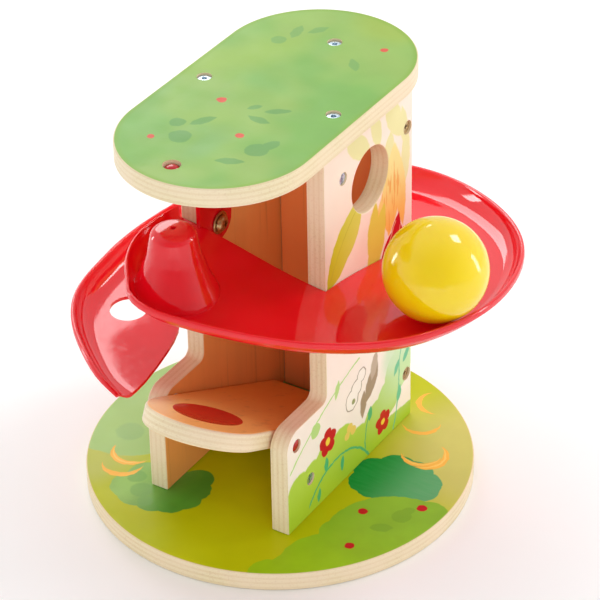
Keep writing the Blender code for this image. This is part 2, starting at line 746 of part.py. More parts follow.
# ---------------------------------------------------------------- small hardware
def bolt(name, head_at, axis, length, mat, parts):
    """Flat-headed bolt with a recess; head_at is the middle of the head's top."""
    socket, depth = 0.0016, 0.0014
    rim = HEAD_RADIUS - 0.0005
    profile = [(0, -depth), (socket, -depth), (socket, 0), (rim, 0), (HEAD_RADIUS, -0.0005),
               (HEAD_RADIUS, -HEAD_HEIGHT), (BOLT_RADIUS, -HEAD_HEIGHT), (BOLT_RADIUS, -length),
               (0, -length)]
    place(shade(turned(name, profile, head_at, axis, segments=12)), parts, mat)


def make_bolts(parts, steel):
    top = TOWER_TOP + GAP + PLY - HEAD_SINK
    for label, x, y in bolt_places(ROOF_BOLT_Y):
        length = top - ROOF_BARREL_Z + BARREL_RADIUS
        bolt("roof_bolt_" + label, Vector((x, y, top)), (0, 0, 1), length, steel, parts)
    for label, x, y in bolt_places(BASE_BOLT_Y):
        length = BASE_BARREL_Z - HEAD_SINK + BARREL_RADIUS
        bolt("base_bolt_" + label, Vector((x, y, HEAD_SINK)), (0, 0, -1), length, steel, parts)


def make_barrels(group, z, side_y, parts, cutters, steel):
    """Cross nuts: slotted plugs just below the panels' outer faces, bored for the bolts."""
    flush = 0.0008
    for label, x, y in bolt_places(side_y):
        name = f"{group}_{label}"
        if label == "back":
            axis, face, slot = Vector((0, 1, 0)), Vector((x, REAR - flush, z)), (0.0006, 0.0007, 0.006)
        else:
            axis, slot = Vector((math.copysign(1, x), 0, 0)), (0.0007, 0.0006, 0.006)
            face = Vector((math.copysign(TOWER_HALF - flush, x), y, z))
        nut = cylinder(name, BARREL_RADIUS, BARREL_LENGTH, face - axis * (BARREL_LENGTH / 2), axis)
        drill(nut, name + "_bore", HOLE_RADIUS, 0.020, Vector((x, y, z)), (0, 0, 1), cutters)
        cut(nut, block(name + "_slot", face - Vector(slot), face + Vector(slot)), cutters)
        place(shade(nut), parts, steel)


def screw(name, head_at, axis, length, head_radius, mat, parts):
    """Countersunk wood screw; the shank tapers to a blunt point."""
    r = SCREW_RADIUS
    profile = [(0, -0.0010), (0.0014, -0.0003), (0.0014, 0), (head_radius, 0), (head_radius, -0.0005),
               (r, -0.0024), (r, -length + 0.003), (0.0006, -length), (0, -length)]
    place(shade(turned(name, profile, head_at, axis, segments=10)), parts, mat)


def make_screws(parts, steel):
    for side, sign in SIDES:
        for level, z in zip(("low", "high"), PANEL_SCREW_HEIGHTS):
            at = Vector((sign * (TOWER_HALF - HEAD_SINK), BACK_Y, z))
            screw(f"panel_screw_{side}_{level}", at, (sign, 0, 0), 0.030, HEAD_RADIUS, steel, parts)
    stand = LUG_OFF_TOWER + LUG_THICK + 0.0027
    for side, (x, z) in zip(("left", "right"), rear_lug_screws()):
        at = Vector((x, REAR + stand, z))
        screw("chute_screw_rear_" + side, at, (0, 1, 0), 0.0135, LUG_SCREW_HEAD, steel, parts)
    spot = left_lug_screw()
    at = Vector((spot.x - stand, spot.y, spot.z))
    screw("chute_screw_side", at, (-1, 0, 0), 0.0125, LUG_SCREW_HEAD, steel, parts)


def make_chute_bolt(parts, cutters, steel):
    y, z = CHUTE_BOLT.y, CHUTE_BOLT.z
    washer_x = -INNER_HALF + GAP + TAB_THICK + GAP
    thick = WASHER_THICK
    washer = ring("chute_washer", TAB_HOLE, WASHER_RADIUS, thick, (washer_x, y, z), (1, 0, 0))
    place(shade(washer), parts, steel)
    # pan head with a cross recess, then a plain shank into the tee nut
    head_x = washer_x + thick + GAP
    tall = PAN_HEAD
    reach = -(head_x + TOWER_HALF - 0.0020)
    profile = [(0, tall), (0.0020, tall - 0.0001), (0.0038, tall - 0.0007), (0.0050, tall - 0.0018),
               (PAN_HEAD_RADIUS, 0), (BOLT_RADIUS, 0), (BOLT_RADIUS, reach), (0, reach)]
    screw_body = turned("chute_bolt", profile, (head_x, y, z), (1, 0, 0))
    at = Vector((head_x + tall, y, z))
    for index, half in enumerate(((0.0015, 0.0022, 0.0005), (0.0015, 0.0005, 0.0022))):
        cut(screw_body, block(f"cross_{index}", at - Vector(half), at + Vector(half)), cutters)
    place(shade(screw_body), parts, steel)
    # tee nut: flange let into the panel's outer face, barrel inside it
    profile = [(HOLE_RADIUS, TEE_LENGTH), (TEE_BARREL, TEE_LENGTH), (TEE_BARREL, TEE_FLANGE_THICK),
               (TEE_FLANGE, TEE_FLANGE_THICK), (TEE_FLANGE, 0), (HOLE_RADIUS, 0)]
    nut = turned("chute_tee_nut", profile, (-TOWER_HALF + GAP, y, z), (1, 0, 0), closed=True)
    place(shade(nut), parts, steel)


def make_plug(parts, red):
    """Red plug let into the roof near its front; its round head lies just below the surface."""
    seat = TOWER_TOP + GAP + PLY - PLUG_SINK + GAP
    foot = TOWER_TOP + 2 * GAP
    profile = [(0, seat + 0.0038), (0.0024, seat + 0.0034), (0.0041, seat + 0.0023),
               (PLUG_HEAD_RADIUS, seat + 0.0009), (PLUG_HEAD_RADIUS, seat), (PLUG_RADIUS, seat),
               (PLUG_RADIUS, foot), (0, foot)]
    place(shade(turned("roof_plug", profile, (PLUG.x, PLUG.y, 0))), parts, red)


def make_ball(parts, yellow):
    angle = math.radians(BALL_ANGLE)
    floor = chute_floor(BALL_ANGLE) - FLOOR_DISH
    centre = Vector((CHUTE_AXIS.x + BALL_DISTANCE * math.cos(angle),
                     CHUTE_AXIS.y + BALL_DISTANCE * math.sin(angle), floor + BALL_RADIUS + BALL_LIFT))
    bm = bmesh.new()
    bmesh.ops.create_uvsphere(bm, u_segments=28, v_segments=16, radius=BALL_RADIUS,
                              matrix=Matrix.Identity(4))
    ball = from_bmesh("ball", bm)
    ball.location = centre
    place(shade(ball, 60), parts, yellow)


def main():
    clear_scene()
    parts = new_collection("press_ball_run")
    cutters = new_collection("cutters")
    wood = material("plywood", (0.87, 0.74, 0.53), 0.45)
    red = material("red_plastic", (0.72, 0.01, 0.02), 0.12)
    yellow = material("yellow_plastic", (0.93, 0.72, 0.02), 0.22)
    steel = material("zinc_steel", (0.70, 0.70, 0.68), 0.30, 1.0)
    nylon = material("white_nylon", (0.90, 0.90, 0.88), 0.40)

    make_base(parts, cutters, wood)
    make_side(1, parts, cutters, wood)
    make_side(-1, parts, cutters, wood)
    make_back(parts, cutters, wood)
    make_roof(parts, cutters, wood)
    make_lever(parts, cutters, wood)
    make_axle(parts, steel, red, nylon)
    make_chute(parts, cutters, red)
    make_bolts(parts, steel)
    make_barrels("roof_nut", ROOF_BARREL_Z, ROOF_BOLT_Y, parts, cutters, steel)
    make_barrels("base_nut", BASE_BARREL_Z, BASE_BOLT_Y, parts, cutters, steel)
    make_screws(parts, steel)
    make_chute_bolt(parts, cutters, steel)
    make_plug(parts, red)
    make_ball(parts, yellow)


main()
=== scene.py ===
"""Looks of the wooden press-and-roll ball run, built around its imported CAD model.

Row frame: metres, +Z up, origin at the centre of the base's underside, front towards -Y.
Printed artwork is laid out in millimetres in the same frame.
"""

import json
import math

import bmesh
import bpy
from mathutils import Matrix, Vector

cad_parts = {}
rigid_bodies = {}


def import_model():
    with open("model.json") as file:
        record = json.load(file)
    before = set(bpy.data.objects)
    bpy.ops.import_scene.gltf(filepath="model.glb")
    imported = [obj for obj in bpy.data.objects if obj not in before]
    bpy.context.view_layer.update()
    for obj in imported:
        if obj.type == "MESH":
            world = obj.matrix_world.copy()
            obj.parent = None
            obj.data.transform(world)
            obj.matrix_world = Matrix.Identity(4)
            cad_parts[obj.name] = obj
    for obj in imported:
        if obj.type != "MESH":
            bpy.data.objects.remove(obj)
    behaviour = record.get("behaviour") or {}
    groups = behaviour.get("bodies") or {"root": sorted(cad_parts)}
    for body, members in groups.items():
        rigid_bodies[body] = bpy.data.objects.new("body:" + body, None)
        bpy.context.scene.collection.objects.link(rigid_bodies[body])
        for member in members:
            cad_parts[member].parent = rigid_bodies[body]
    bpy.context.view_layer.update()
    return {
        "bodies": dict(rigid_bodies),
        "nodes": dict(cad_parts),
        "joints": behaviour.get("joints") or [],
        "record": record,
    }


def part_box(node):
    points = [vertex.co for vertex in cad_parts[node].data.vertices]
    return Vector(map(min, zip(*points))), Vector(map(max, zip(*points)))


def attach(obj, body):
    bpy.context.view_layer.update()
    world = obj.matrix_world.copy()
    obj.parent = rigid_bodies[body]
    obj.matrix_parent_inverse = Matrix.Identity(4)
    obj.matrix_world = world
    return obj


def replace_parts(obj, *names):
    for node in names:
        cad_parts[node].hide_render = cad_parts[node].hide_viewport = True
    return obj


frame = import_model()


# ---------------------------------------------------------------- the CAD model's sizes
PLY = 0.012                 # thickness of every wooden panel
GAP = 0.0003                # air left between pieces that touch
WELD = 0.00001              # points closer than this are one point
EDGE = 0.0009               # eased edge of the panels

BASE_RADIUS = 0.120

TOWER_HALF = 0.0495         # half the tower's width over both sides
INNER_HALF = TOWER_HALF - PLY
FRONT_LOW = -0.0686         # front edge of the sides beside the lever
FRONT_HIGH = -0.0239        # front edge of the sides above the step
REAR = 0.0761               # rear edge of the sides
STEP_Z = 0.083              # height of the step
TOWER_TOP = 0.254
STEP_ROUND = 0.012          # rounded corner beside the lever
STEP_INNER_ROUND = 0.005    # and the tighter one above it

ROOF_HALF_WIDTH = 0.0588
ROOF_HALF_LENGTH = 0.1114
ROOF_Y = -0.0019

WINDOW_Y = 0.0272
WINDOW_Z = 0.2098
WINDOW_RADIUS = 0.0205

BACK_Y = REAR - PLY / 2     # middle of the back panel's thickness
ROOF_BOLT_Y = -0.003
BASE_BOLT_Y = -0.0433
SIDE_MID = TOWER_HALF - PLY / 2

BOLT_RADIUS = 0.002
HOLE_RADIUS = BOLT_RADIUS + GAP
HEAD_RADIUS = 0.0042
HEAD_HEIGHT = 0.0026
HEAD_SINK = 0.0012          # how far a bolt head lies below its surface
SINK = HEAD_SINK + HEAD_HEIGHT + GAP
BARREL_RADIUS = 0.0038
BARREL_LENGTH = 0.009
ROOF_BARREL_Z = 0.2256
BASE_BARREL_Z = 0.0383

PANEL_SCREW_HEIGHTS = (0.0463, 0.2229)
SCREW_RADIUS = 0.0016

# the see-saw board turns about the axle; at rest its front stands up
AXLE = Vector((0.0, -0.058, 0.072))
AXLE_RADIUS = 0.0022
LEVER_TILT = math.radians(27.0)
LEVER_HALF = 0.0362
LOBE_REACH = 0.0255         # axle to the centre of the round front
LEVER_REAR = 0.1190         # axle to the rear end
DISH_REACH = 0.0238
DISH_RADIUS = 0.0213
DISH_DEPTH = 0.0016
CAP_RADIUS = 0.0041
CAP_DEPTH = 0.0028

# the chute winds about CHUTE_AXIS; angles in degrees from +X, counter-clockwise
CHUTE_AXIS = Vector((0.0, 0.0260, 0.0))
CHUTE_START = 225.5
CHUTE_END = 613.0
CHUTE_SHEAR_FROM = 556.0    # from here the end edge starts to slant
CHUTE_END_INNER = 582.0     # where the slanted end edge meets the tower
CHUTE_TOP_Z = 0.181         # floor height at CHUTE_START
CHUTE_FALL = 0.0002256      # fall per degree at the start
CHUTE_EASE = 0.000000064    # how much the fall eases off, per degree squared
CHUTE_CLEAR = 0.0006        # gap between the chute and the tower
CHUTE_SKIN = 0.0023
WALL_HEIGHT = 0.0104
FLOOR_DISH = 0.0012
RIM = (                     # angle, distance of the rim from CHUTE_AXIS
    (225.5, 0.0715),
    (232.0, 0.0865),
    (239.0, 0.1050),
    (247.0, 0.1205),
    (253.5, 0.1305),
    (259.0, 0.1400),
    (266.0, 0.1430),
    (274.0, 0.1405),
    (288.0, 0.1382),
    (306.0, 0.1405),
    (325.0, 0.1432),
    (345.0, 0.1418),
    (365.0, 0.1385),
    (385.0, 0.1350),
    (415.0, 0.1265),
    (450.0, 0.1220),
    (490.0, 0.1165),
    (528.0, 0.1145),
    (556.0, 0.1240),
    (576.0, 0.1372),
    (597.0, 0.1412),
    (606.0, 0.1430),
    (613.0, 0.1415),
)
DROP_HOLE = Vector((-0.0851, -0.0332, 0.0))
DROP_HOLE_RADIUS = 0.0117

CONE = Vector((-0.0163, -0.0794, 0.0))
CONE_HEIGHT = 0.0404
CONE_FOOT = 0.0252
CONE_CROWN = 0.0070         # radius of its flat top
CONE_HOLE = 0.0016
CONE_SKIN = 0.0024
PLUG = Vector((-0.0042, -0.0947, 0.0))
PLUG_RADIUS = 0.0036
PLUG_HEAD_RADIUS = 0.0050
PLUG_SINK = 0.0048          # depth of the plug's recess

TAB_THICK = 0.0025
TAB_REAR = 0.0070
TAB_TOP = 0.1960
CHUTE_BOLT = Vector((-INNER_HALF, -0.0067, 0.1722))
LUG_DROP = 0.020
LUG_THICK = 0.0024
TAB_HOLE = 0.0026
TAB_ROUND = 0.010
TAB_LOW_ROUND = 0.0125
LUG_OFF_TOWER = CHUTE_CLEAR + 0.0002
LUG_SCREW_DROP = 0.0115     # lug screws below the chute's floor
LUG_SCREW_HEAD = 0.0034
WASHER_THICK = 0.0012
WASHER_RADIUS = 0.0072
PAN_HEAD = 0.0030           # height of the chute bolt's head
PAN_HEAD_RADIUS = 0.0052
TEE_BARREL = 0.0034
TEE_FLANGE = 0.0085
TEE_FLANGE_THICK = 0.0010
TEE_LENGTH = 0.0094

BALL_RADIUS = 0.0307

ROUND = 40                  # segments of a small round piece or hole
FINE = 72                   # segments of a larger one
STATION_STEP = 2.5          # degrees between the chute's sections
SIDES = (("right", 1), ("left", -1))

# camera and lights
CAMERA_TURN = (32.491, 33.579, -1.133)      # azimuth, elevation and roll in degrees
CAMERA_PLACE = Vector((0.7635, -1.1724, 1.0531))
CAMERA_LENS = 168.66
WORLD_LIGHT = 0.95
FRONT_LIGHT = 0.35
KEY_POWER = 3.2
REAR_POWER = 5.0
LEFT_POWER = 2.2
RIGHT_POWER = 2.4
FILL_POWER = 6.5
HIDDEN_STEEL = ("lever_axle",)
HIDDEN_NYLON = ("lever_washer_right", "lever_washer_left")


# ---------------------------------------------------------------- node materials
def ink(r, g, b):
    """A printed colour as 0 to 255 display values, made linear."""
    linear = []
    for value in (r, g, b):
        v = value / 255
        linear.append(v / 12.92 if v <= 0.04045 else ((v + 0.055) / 1.055) ** 2.4)
    return (*linear, 1.0)


class Nodes:
    """Short names for the shader nodes that the materials are made of."""

    def __init__(self, name):
        self.mat = bpy.data.materials.new(name)
        self.mat.use_nodes = True
        self.tree = self.mat.node_tree
        self.shader = self.tree.nodes["Principled BSDF"]
        self.coords = self.tree.nodes.new("ShaderNodeTexCoord")
        self.place = self.coords.outputs["Object"]

    def feed(self, socket, value):
        if isinstance(value, bpy.types.NodeSocket):
            self.tree.links.new(value, socket)
        elif value is not None:
            socket.default_value = value

    def math(self, operation, a, b=None, c=None, clamp=False):
        node = self.tree.nodes.new("ShaderNodeMath")
        node.operation = operation
        node.use_clamp = clamp
        for socket, value in zip(node.inputs, (a, b, c)):
            self.feed(socket, value)
        return node.outputs[0]

    def vector(self, operation, a, b=None, scale=None):
        node = self.tree.nodes.new("ShaderNodeVectorMath")
        node.operation = operation
        self.feed(node.inputs[0], a)
        self.feed(node.inputs[1], b)
        if scale is not None:
            self.feed(node.inputs["Scale"], scale)
        return node.outputs["Value" if operation in ("LENGTH", "DISTANCE", "DOT_PRODUCT") else "Vector"]

    def parts(self, vector):
        node = self.tree.nodes.new("ShaderNodeSeparateXYZ")
        self.feed(node.inputs[0], vector)
        return node.outputs

    def join(self, x, y, z=0.0):
        node = self.tree.nodes.new("ShaderNodeCombineXYZ")
        for socket, value in zip(node.inputs, (x, y, z)):
            self.feed(socket, value)
        return node.outputs[0]

    def spread(self, value, low, high, to_low=0.0, to_high=1.0):
        """Smooth step of value from low to high."""
        node = self.tree.nodes.new("ShaderNodeMapRange")
        node.interpolation_type = "SMOOTHSTEP"
        for socket, number in zip(node.inputs, (value, low, high, to_low, to_high)):
            self.feed(socket, number)
        return node.outputs[0]

    def noise(self, scale, detail=2.0, where=None, colour=False, stretch=None):
        place = where or self.place
        if stretch:
            place = self.vector("MULTIPLY", place, stretch)
        node = self.tree.nodes.new("ShaderNodeTexNoise")
        node.inputs["Scale"].default_value = scale
        node.inputs["Detail"].default_value = detail
        self.feed(node.inputs["Vector"], place)
        return node.outputs["Color" if colour else "Fac"]

    def mix(self, share, a, b, blend="MIX"):
        node = self.tree.nodes.new("ShaderNodeMix")
        node.data_type = "RGBA"
        node.blend_type = blend
        node.clamp_factor = True
        self.feed(node.inputs["Factor"], share)
        self.feed(node.inputs["A"], a)
        self.feed(node.inputs["B"], b)
        return node.outputs["Result"]

    def bump(self, height, strength, distance=0.001):
        node = self.tree.nodes.new("ShaderNodeBump")
        node.inputs["Strength"].default_value = strength
        node.inputs["Distance"].default_value = distance
        self.feed(node.inputs["Height"], height)
        self.feed(self.shader.inputs["Normal"], node.outputs["Normal"])

    def set(self, **values):
        for name, value in values.items():
            self.feed(self.shader.inputs[name.replace("_", " ")], value)
        return self.mat


class Print(Nodes):
    """Drawing on a flat face: shapes are distances in millimetres, painted one over another."""

    WOBBLE = 0.9

    def canvas(self, u, v):
        """Start drawing on the plane of the row frame's axes u and v."""
        axes = self.parts(self.vector("SCALE", self.place, scale=1000.0))
        self.flat = self.join(axes[u], axes[v])
        wave = self.vector("SUBTRACT", self.noise(0.22, 1.0, self.flat, colour=True), (0.5, 0.5, 0.5))
        wave = self.vector("MULTIPLY", wave, (2 * self.WOBBLE, 2 * self.WOBBLE, 0.0))
        self.pen = self.vector("ADD", self.flat, wave)

    def disc(self, x, y, radius):
        return self.math("SUBTRACT", self.vector("DISTANCE", self.pen, (x, y, 0.0)), radius)

    def union(self, shapes):
        total = shapes[0]
        for shape in shapes[1:]:
            total = self.math("MINIMUM", total, shape)
        return total

    def cloud(self, discs):
        return self.union([self.disc(*one) for one in discs])

    def leaf(self, x, y, angle, length, width):
        """Pointed oval: where two discs overlap."""
        a, b = length / 2, width / 2
        radius = (a * a + b * b) / (2 * b)
        turn = math.radians(angle)
        nx, ny = -math.sin(turn) * (radius - b), math.cos(turn) * (radius - b)
        return self.math("MAXIMUM", self.disc(x + nx, y + ny, radius), self.disc(x - nx, y - ny, radius))

    def shapes(self, leaves=(), discs=(), strokes=()):
        """Union of many leaves, discs and strokes."""
        made = [self.leaf(*one) for one in leaves] + [self.disc(*one) for one in discs]
        return self.union(made + [self.stroke(*one) for one in strokes])

    def crescent(self, x, y, angle, radius, width):
        """Moon shape, thickest towards angle."""
        turn = math.radians(angle)
        gap = 1.35 * width
        inner = self.disc(x - math.cos(turn) * gap, y - math.sin(turn) * gap, radius + 0.35 * width)
        return self.math("MAXIMUM", self.disc(x, y, radius), self.math("MULTIPLY", inner, -1.0))

    def stroke(self, x0, y0, x1, y1, bulge, width):
        """Curved line from one point to the other, bulging to its left by bulge."""
        mx, my = (x0 + x1) / 2, (y0 + y1) / 2
        half = math.hypot(x1 - x0, y1 - y0) / 2
        radius = (half * half + bulge * bulge) / (2 * bulge)
        nx, ny = -(y1 - y0) / (2 * half), (x1 - x0) / (2 * half)
        cx, cy = mx + nx * (bulge - radius), my + ny * (bulge - radius)
        ring = self.math("ABSOLUTE", self.disc(cx, cy, abs(radius)))
        line = self.math("SUBTRACT", ring, width / 2)
        return self.math("MAXIMUM", line, self.disc(mx, my, math.hypot(half, bulge)))

    def below(self, slope, height):
        """Everything under the line v = height + slope * u."""
        x, y, _ = self.parts(self.pen)
        return self.math("SUBTRACT", self.math("MULTIPLY_ADD", x, -slope, y), height)

    def paint(self, under, colour, shape, soft=0.35, share=1.0):
        mask = self.spread(shape, soft, -soft, 0.0, share)
        return self.mix(mask, under, colour)

    def draw(self, colour, shape, soft=0.35, share=1.0):
        """One more layer of ink on the artwork."""
        self.art = self.paint(self.art, colour, shape, soft, share)

    def flower(self, x, y, size):
        petals = []
        for k in range(5):
            turn = math.radians(72 * k + 20)
            petals.append((x + 0.62 * size * math.cos(turn), y + 0.62 * size * math.sin(turn), 0.46 * size))
        self.draw(ink(204, 16, 28), self.cloud(petals))
        self.draw(ink(250, 215, 70), self.disc(x, y, 0.28 * size))

    def tinted(self, colour, amount=0.05):
        """Uneven ink: soft blotches, lighter and darker."""
        blotch = self.spread(self.noise(38.0, 3.0), 0.3, 0.7)
        light = self.mix(blotch, (1 - amount,) * 3 + (1.0,), (1 + amount,) * 3 + (1.0,))
        return self.mix(1.0, colour, light, "MULTIPLY")


def grain(n, tone, along):
    """Bare veneer: long fibres along one axis, fine pores and a few darker streaks."""
    stretch = [240.0, 240.0, 240.0]
    stretch[along] = 9.0
    fibres = n.noise(1.0, 4.0, stretch=tuple(stretch))
    broad = [46.0, 46.0, 46.0]
    broad[along] = 3.5
    bands = n.noise(1.0, 2.0, stretch=tuple(broad))
    dark = tuple(c * 0.66 for c in tone[:3]) + (1.0,)
    light = tuple(min(1.0, c * 1.10) for c in tone[:3]) + (1.0,)
    colour = n.mix(n.spread(bands, 0.32, 0.68), light, tone)
    return n.mix(n.spread(fibres, 0.56, 0.80, 0.0, 0.55), colour, dark), fibres


def ply_edge(n, across, low):
    """Edge of the panel: layers across its thickness, some with the fibres cut across."""
    depth = n.math("DIVIDE", n.math("SUBTRACT", across, low * 1000.0), PLY * 1000.0)
    layer = n.math("MULTIPLY", depth, 7.0)
    odd = n.math("PINGPONG", layer, 1.0)
    core = n.spread(odd, 0.25, 0.75)
    glue = n.spread(n.math("ABSOLUTE", n.math("SUBTRACT", n.math("FRACT", layer), 0.5)), 0.40, 0.5)
    pale = n.mix(core, ink(240, 226, 190), ink(232, 214, 172))
    pores = n.spread(n.noise(900.0, 2.0), 0.5, 0.75, 0.0, 0.35)
    pale = n.mix(pores, pale, ink(206, 172, 128))
    blotch = n.spread(n.noise(26.0, 2.0), 0.35, 0.7, 0.0, 0.5)
    pale = n.mix(blotch, pale, ink(248, 226, 200))
    return n.mix(n.math("MULTIPLY", glue, 0.22), pale, ink(214, 178, 130))


def faces(n, axis):
    """Masks of a panel's two faces, the positive one first; its edges are in neither."""
    facing = n.parts(n.coords.outputs["Normal"])[axis]
    return n.spread(facing, 0.80, 0.90), n.spread(facing, -0.80, -0.90)


def lacquer(n, colour, height, roughness=0.42, gloss=0.03):
    rough = n.spread(n.noise(60.0, 2.0), 0.3, 0.7, roughness - 0.05, roughness + 0.06)
    fine = n.math("ADD", n.math("MULTIPLY", height, 0.6), n.noise(420.0, 2.0))
    n.bump(fine, 0.10, 0.0003)
    return n.set(Base_Color=colour, Roughness=rough, Specular_IOR_Level=0.14, Coat_Weight=gloss,
            Coat_Roughness=0.18)


def across_axis(n, axis):
    return n.parts(n.vector("SCALE", n.place, scale=1000.0))[axis]


def base_look():
    n = Print("base_printed_plywood")
    n.canvas(0, 1)
    n.art = n.mix(n.spread(n.noise(14.0, 1.0), 0.3, 0.7), ink(182, 194, 2), ink(190, 199, 8))
    n.draw(ink(206, 204, 108), n.disc(118, 66, 62), 26.0)
    n.draw(ink(186, 196, 84), n.disc(-112, -58, 40), 12.0)
    n.draw(ink(166, 204, 124), n.cloud([(-96, -20, 36), (-74, -6, 30), (-110, -18, 40), (-98, 24, 34),
            (-66, 38, 40), (-30, 86, 34), (-60, 80, 42)]), 0.8)
    n.draw(ink(148, 190, 124), n.cloud([(-92, -30, 9), (-80, -16, 6), (-60, 60, 12), (-84, 40, 7)]), 1.2,
            0.6)
    bush = [(-60, -75, 13), (-52, -80, 12), (-40, -80, 11.5), (-30, -77, 11), (-24, -70, 10.5),
            (-24, -60, 10.5), (-28, -50, 10), (-42, -64, 18), (-56, -62, 14)]
    side = n.spread(n.parts(n.flat)[0], -62.0, -24.0)
    green = n.mix(side, ink(146, 192, 98), ink(84, 158, 50))
    n.draw(n.tinted(green, 0.08), n.cloud(bush))
    n.draw(ink(118, 172, 88), n.cloud([(-52, -76, 7), (-62, -66, 6), (-44, -84, 5)]), 0.8, 0.6)
    bush = [(62, 2, 12), (60, 13, 12.5), (70, 22, 13), (82, 22, 13), (92, 16, 12.5), (96, 10, 10),
            (88, 4, 11), (76, 0, 12), (68, -3, 9.5)]
    side = n.spread(n.parts(n.flat)[0], 56.0, 100.0)
    streaks = n.spread(n.noise(1.0, 2.0, stretch=(60.0, 400.0, 1.0)), 0.35, 0.7, 0.0, 0.25)
    green = n.mix(streaks, n.mix(side, ink(14, 148, 60), ink(100, 174, 116)), ink(60, 166, 90))
    n.draw(green, n.cloud(bush))
    bush = [(104, -40, 42), (84, -80, 30), (58, -104, 13), (64, -92, 11), (67, -79, 12), (72, -68, 13),
            (76, -50, 15), (76, -36, 13), (80, -26, 11), (89, -20, 11), (100, -10, 12), (110, -8, 12)]
    side = n.spread(n.parts(n.flat)[1], -100.0, -10.0)
    green = n.mix(side, ink(154, 198, 20), ink(140, 190, 50))
    n.draw(n.tinted(green, 0.04), n.cloud(bush))
    shade = n.shapes(leaves=[(92.5, -33.5, 28, 14, 8), (98, -12, 60, 10, 7), (88, -92, 40, 12, 6)],
            discs=[(97.5, -18, 6.0)])
    n.draw(ink(128, 176, 46), shade, 0.4, 0.85)
    berries = [(75, -25.5, 2.9), (104, -5, 3.2), (85, -58, 2.9), (-88, 4, 2.7), (-52, 70, 2.9)]
    n.draw(ink(196, 18, 28), n.cloud(berries))
    arcs = [n.crescent(-79, -47.5, 262, 13, 4.6), n.crescent(-77, -60, 292, 13, 4.2),
            n.crescent(61, 70, 300, 12, 3.4), n.crescent(77, 41.5, 290, 12.5, 4.0),
            n.crescent(81, 42, 350, 13.5, 4.8), n.crescent(57, 93, 215, 11.5, 3.6)]
    n.draw(ink(250, 190, 74), n.union(arcs))
    arcs = [n.crescent(-79, -46.6, 262, 12, 1.4), n.crescent(80, 42.2, 350, 12.6, 1.4),
            n.crescent(77, 42.4, 290, 11.6, 1.4)]
    n.draw(ink(255, 214, 110), n.union(arcs), 0.3, 0.8)
    rim = n.math("SUBTRACT", n.vector("LENGTH", n.flat), BASE_RADIUS * 1000.0 - 0.7)
    edge = ply_edge(n, across_axis(n, 2), 0.0)
    up, down = faces(n, 2)
    bare, fibres = grain(n, ink(236, 208, 164), 1)
    colour = n.mix(n.math("MULTIPLY", up, n.spread(rim, 0.25, -0.25)), edge, n.tinted(n.art, 0.03))
    return lacquer(n, n.mix(down, colour, bare), fibres)


def roof_look():
    n = Print("roof_printed_plywood")
    n.canvas(0, 1)
    n.art = n.mix(n.spread(n.noise(17.0, 2.0), 0.36, 0.64), ink(128, 178, 88), ink(150, 184, 94))
    n.art = n.mix(n.spread(n.noise(24.0, 2.0, stretch=(1.0, 0.45, 1.0)), 0.52, 0.75, 0.0, 0.6), n.art,
            ink(128, 176, 106))
    n.draw(ink(150, 184, 84), n.leaf(-36, 30, 60, 90, 34), 12.0, 0.8)
    n.draw(ink(156, 182, 78), n.disc(20, 112, 26), 10.0, 0.9)
    shade = n.shapes(leaves=[(-16, -46, 60, 17, 6.5), (1, -18.5, 50, 9, 4.5), (15, -16, 34, 16, 5.5),
            (10.5, -29.5, -4, 15.5, 6.0), (31.5, -50, 75, 12, 8), (21, -75.5, 24, 17, 6.5)],
            discs=[(-27.5, -54.5, 4.6), (-17.5, -67.0, 6.6), (27.5, -58, 6.8)])
    n.draw(ink(104, 158, 88), shade, 0.5, 0.75)
    rear = n.shapes(leaves=[(-26, 70, 100, 16, 6.5), (-16, 78, 60, 14, 6), (24, 52, 130, 15, 6)],
            discs=[(-30, 56, 4.6)])
    n.draw(ink(108, 162, 92), rear, 0.5, 0.55)
    n.draw(ink(218, 92, 70), n.cloud([(-20, -20.7, 3.0), (-31.8, -75.1, 2.3), (10.9, -49.4, 2.7),
            (30, 76, 2.5)]))
    x, y, _ = n.parts(n.flat)
    straight = (ROOF_HALF_LENGTH - ROOF_HALF_WIDTH) * 1000.0
    past = n.math("MAXIMUM", n.math("SUBTRACT", n.math("ABSOLUTE", n.math("SUBTRACT", y, ROOF_Y * 1000.0)),
            straight), 0.0)
    reach = n.vector("LENGTH", n.join(x, past))
    border = n.spread(reach, ROOF_HALF_WIDTH * 1000.0 - 5.0, ROOF_HALF_WIDTH * 1000.0 - 1.0, 0.0, 0.55)
    n.art = n.mix(border, n.art, ink(132, 172, 62))
    edge = ply_edge(n, across_axis(n, 2), TOWER_TOP + GAP)
    up, down = faces(n, 2)
    bare, fibres = grain(n, ink(232, 200, 150), 1)
    shown = n.spread(reach, ROOF_HALF_WIDTH * 1000.0 - 0.6, ROOF_HALF_WIDTH * 1000.0 - 1.0)
    colour = n.mix(n.math("MULTIPLY", up, shown), edge, n.tinted(n.art, 0.03))
    return lacquer(n, n.mix(down, colour, bare), fibres)


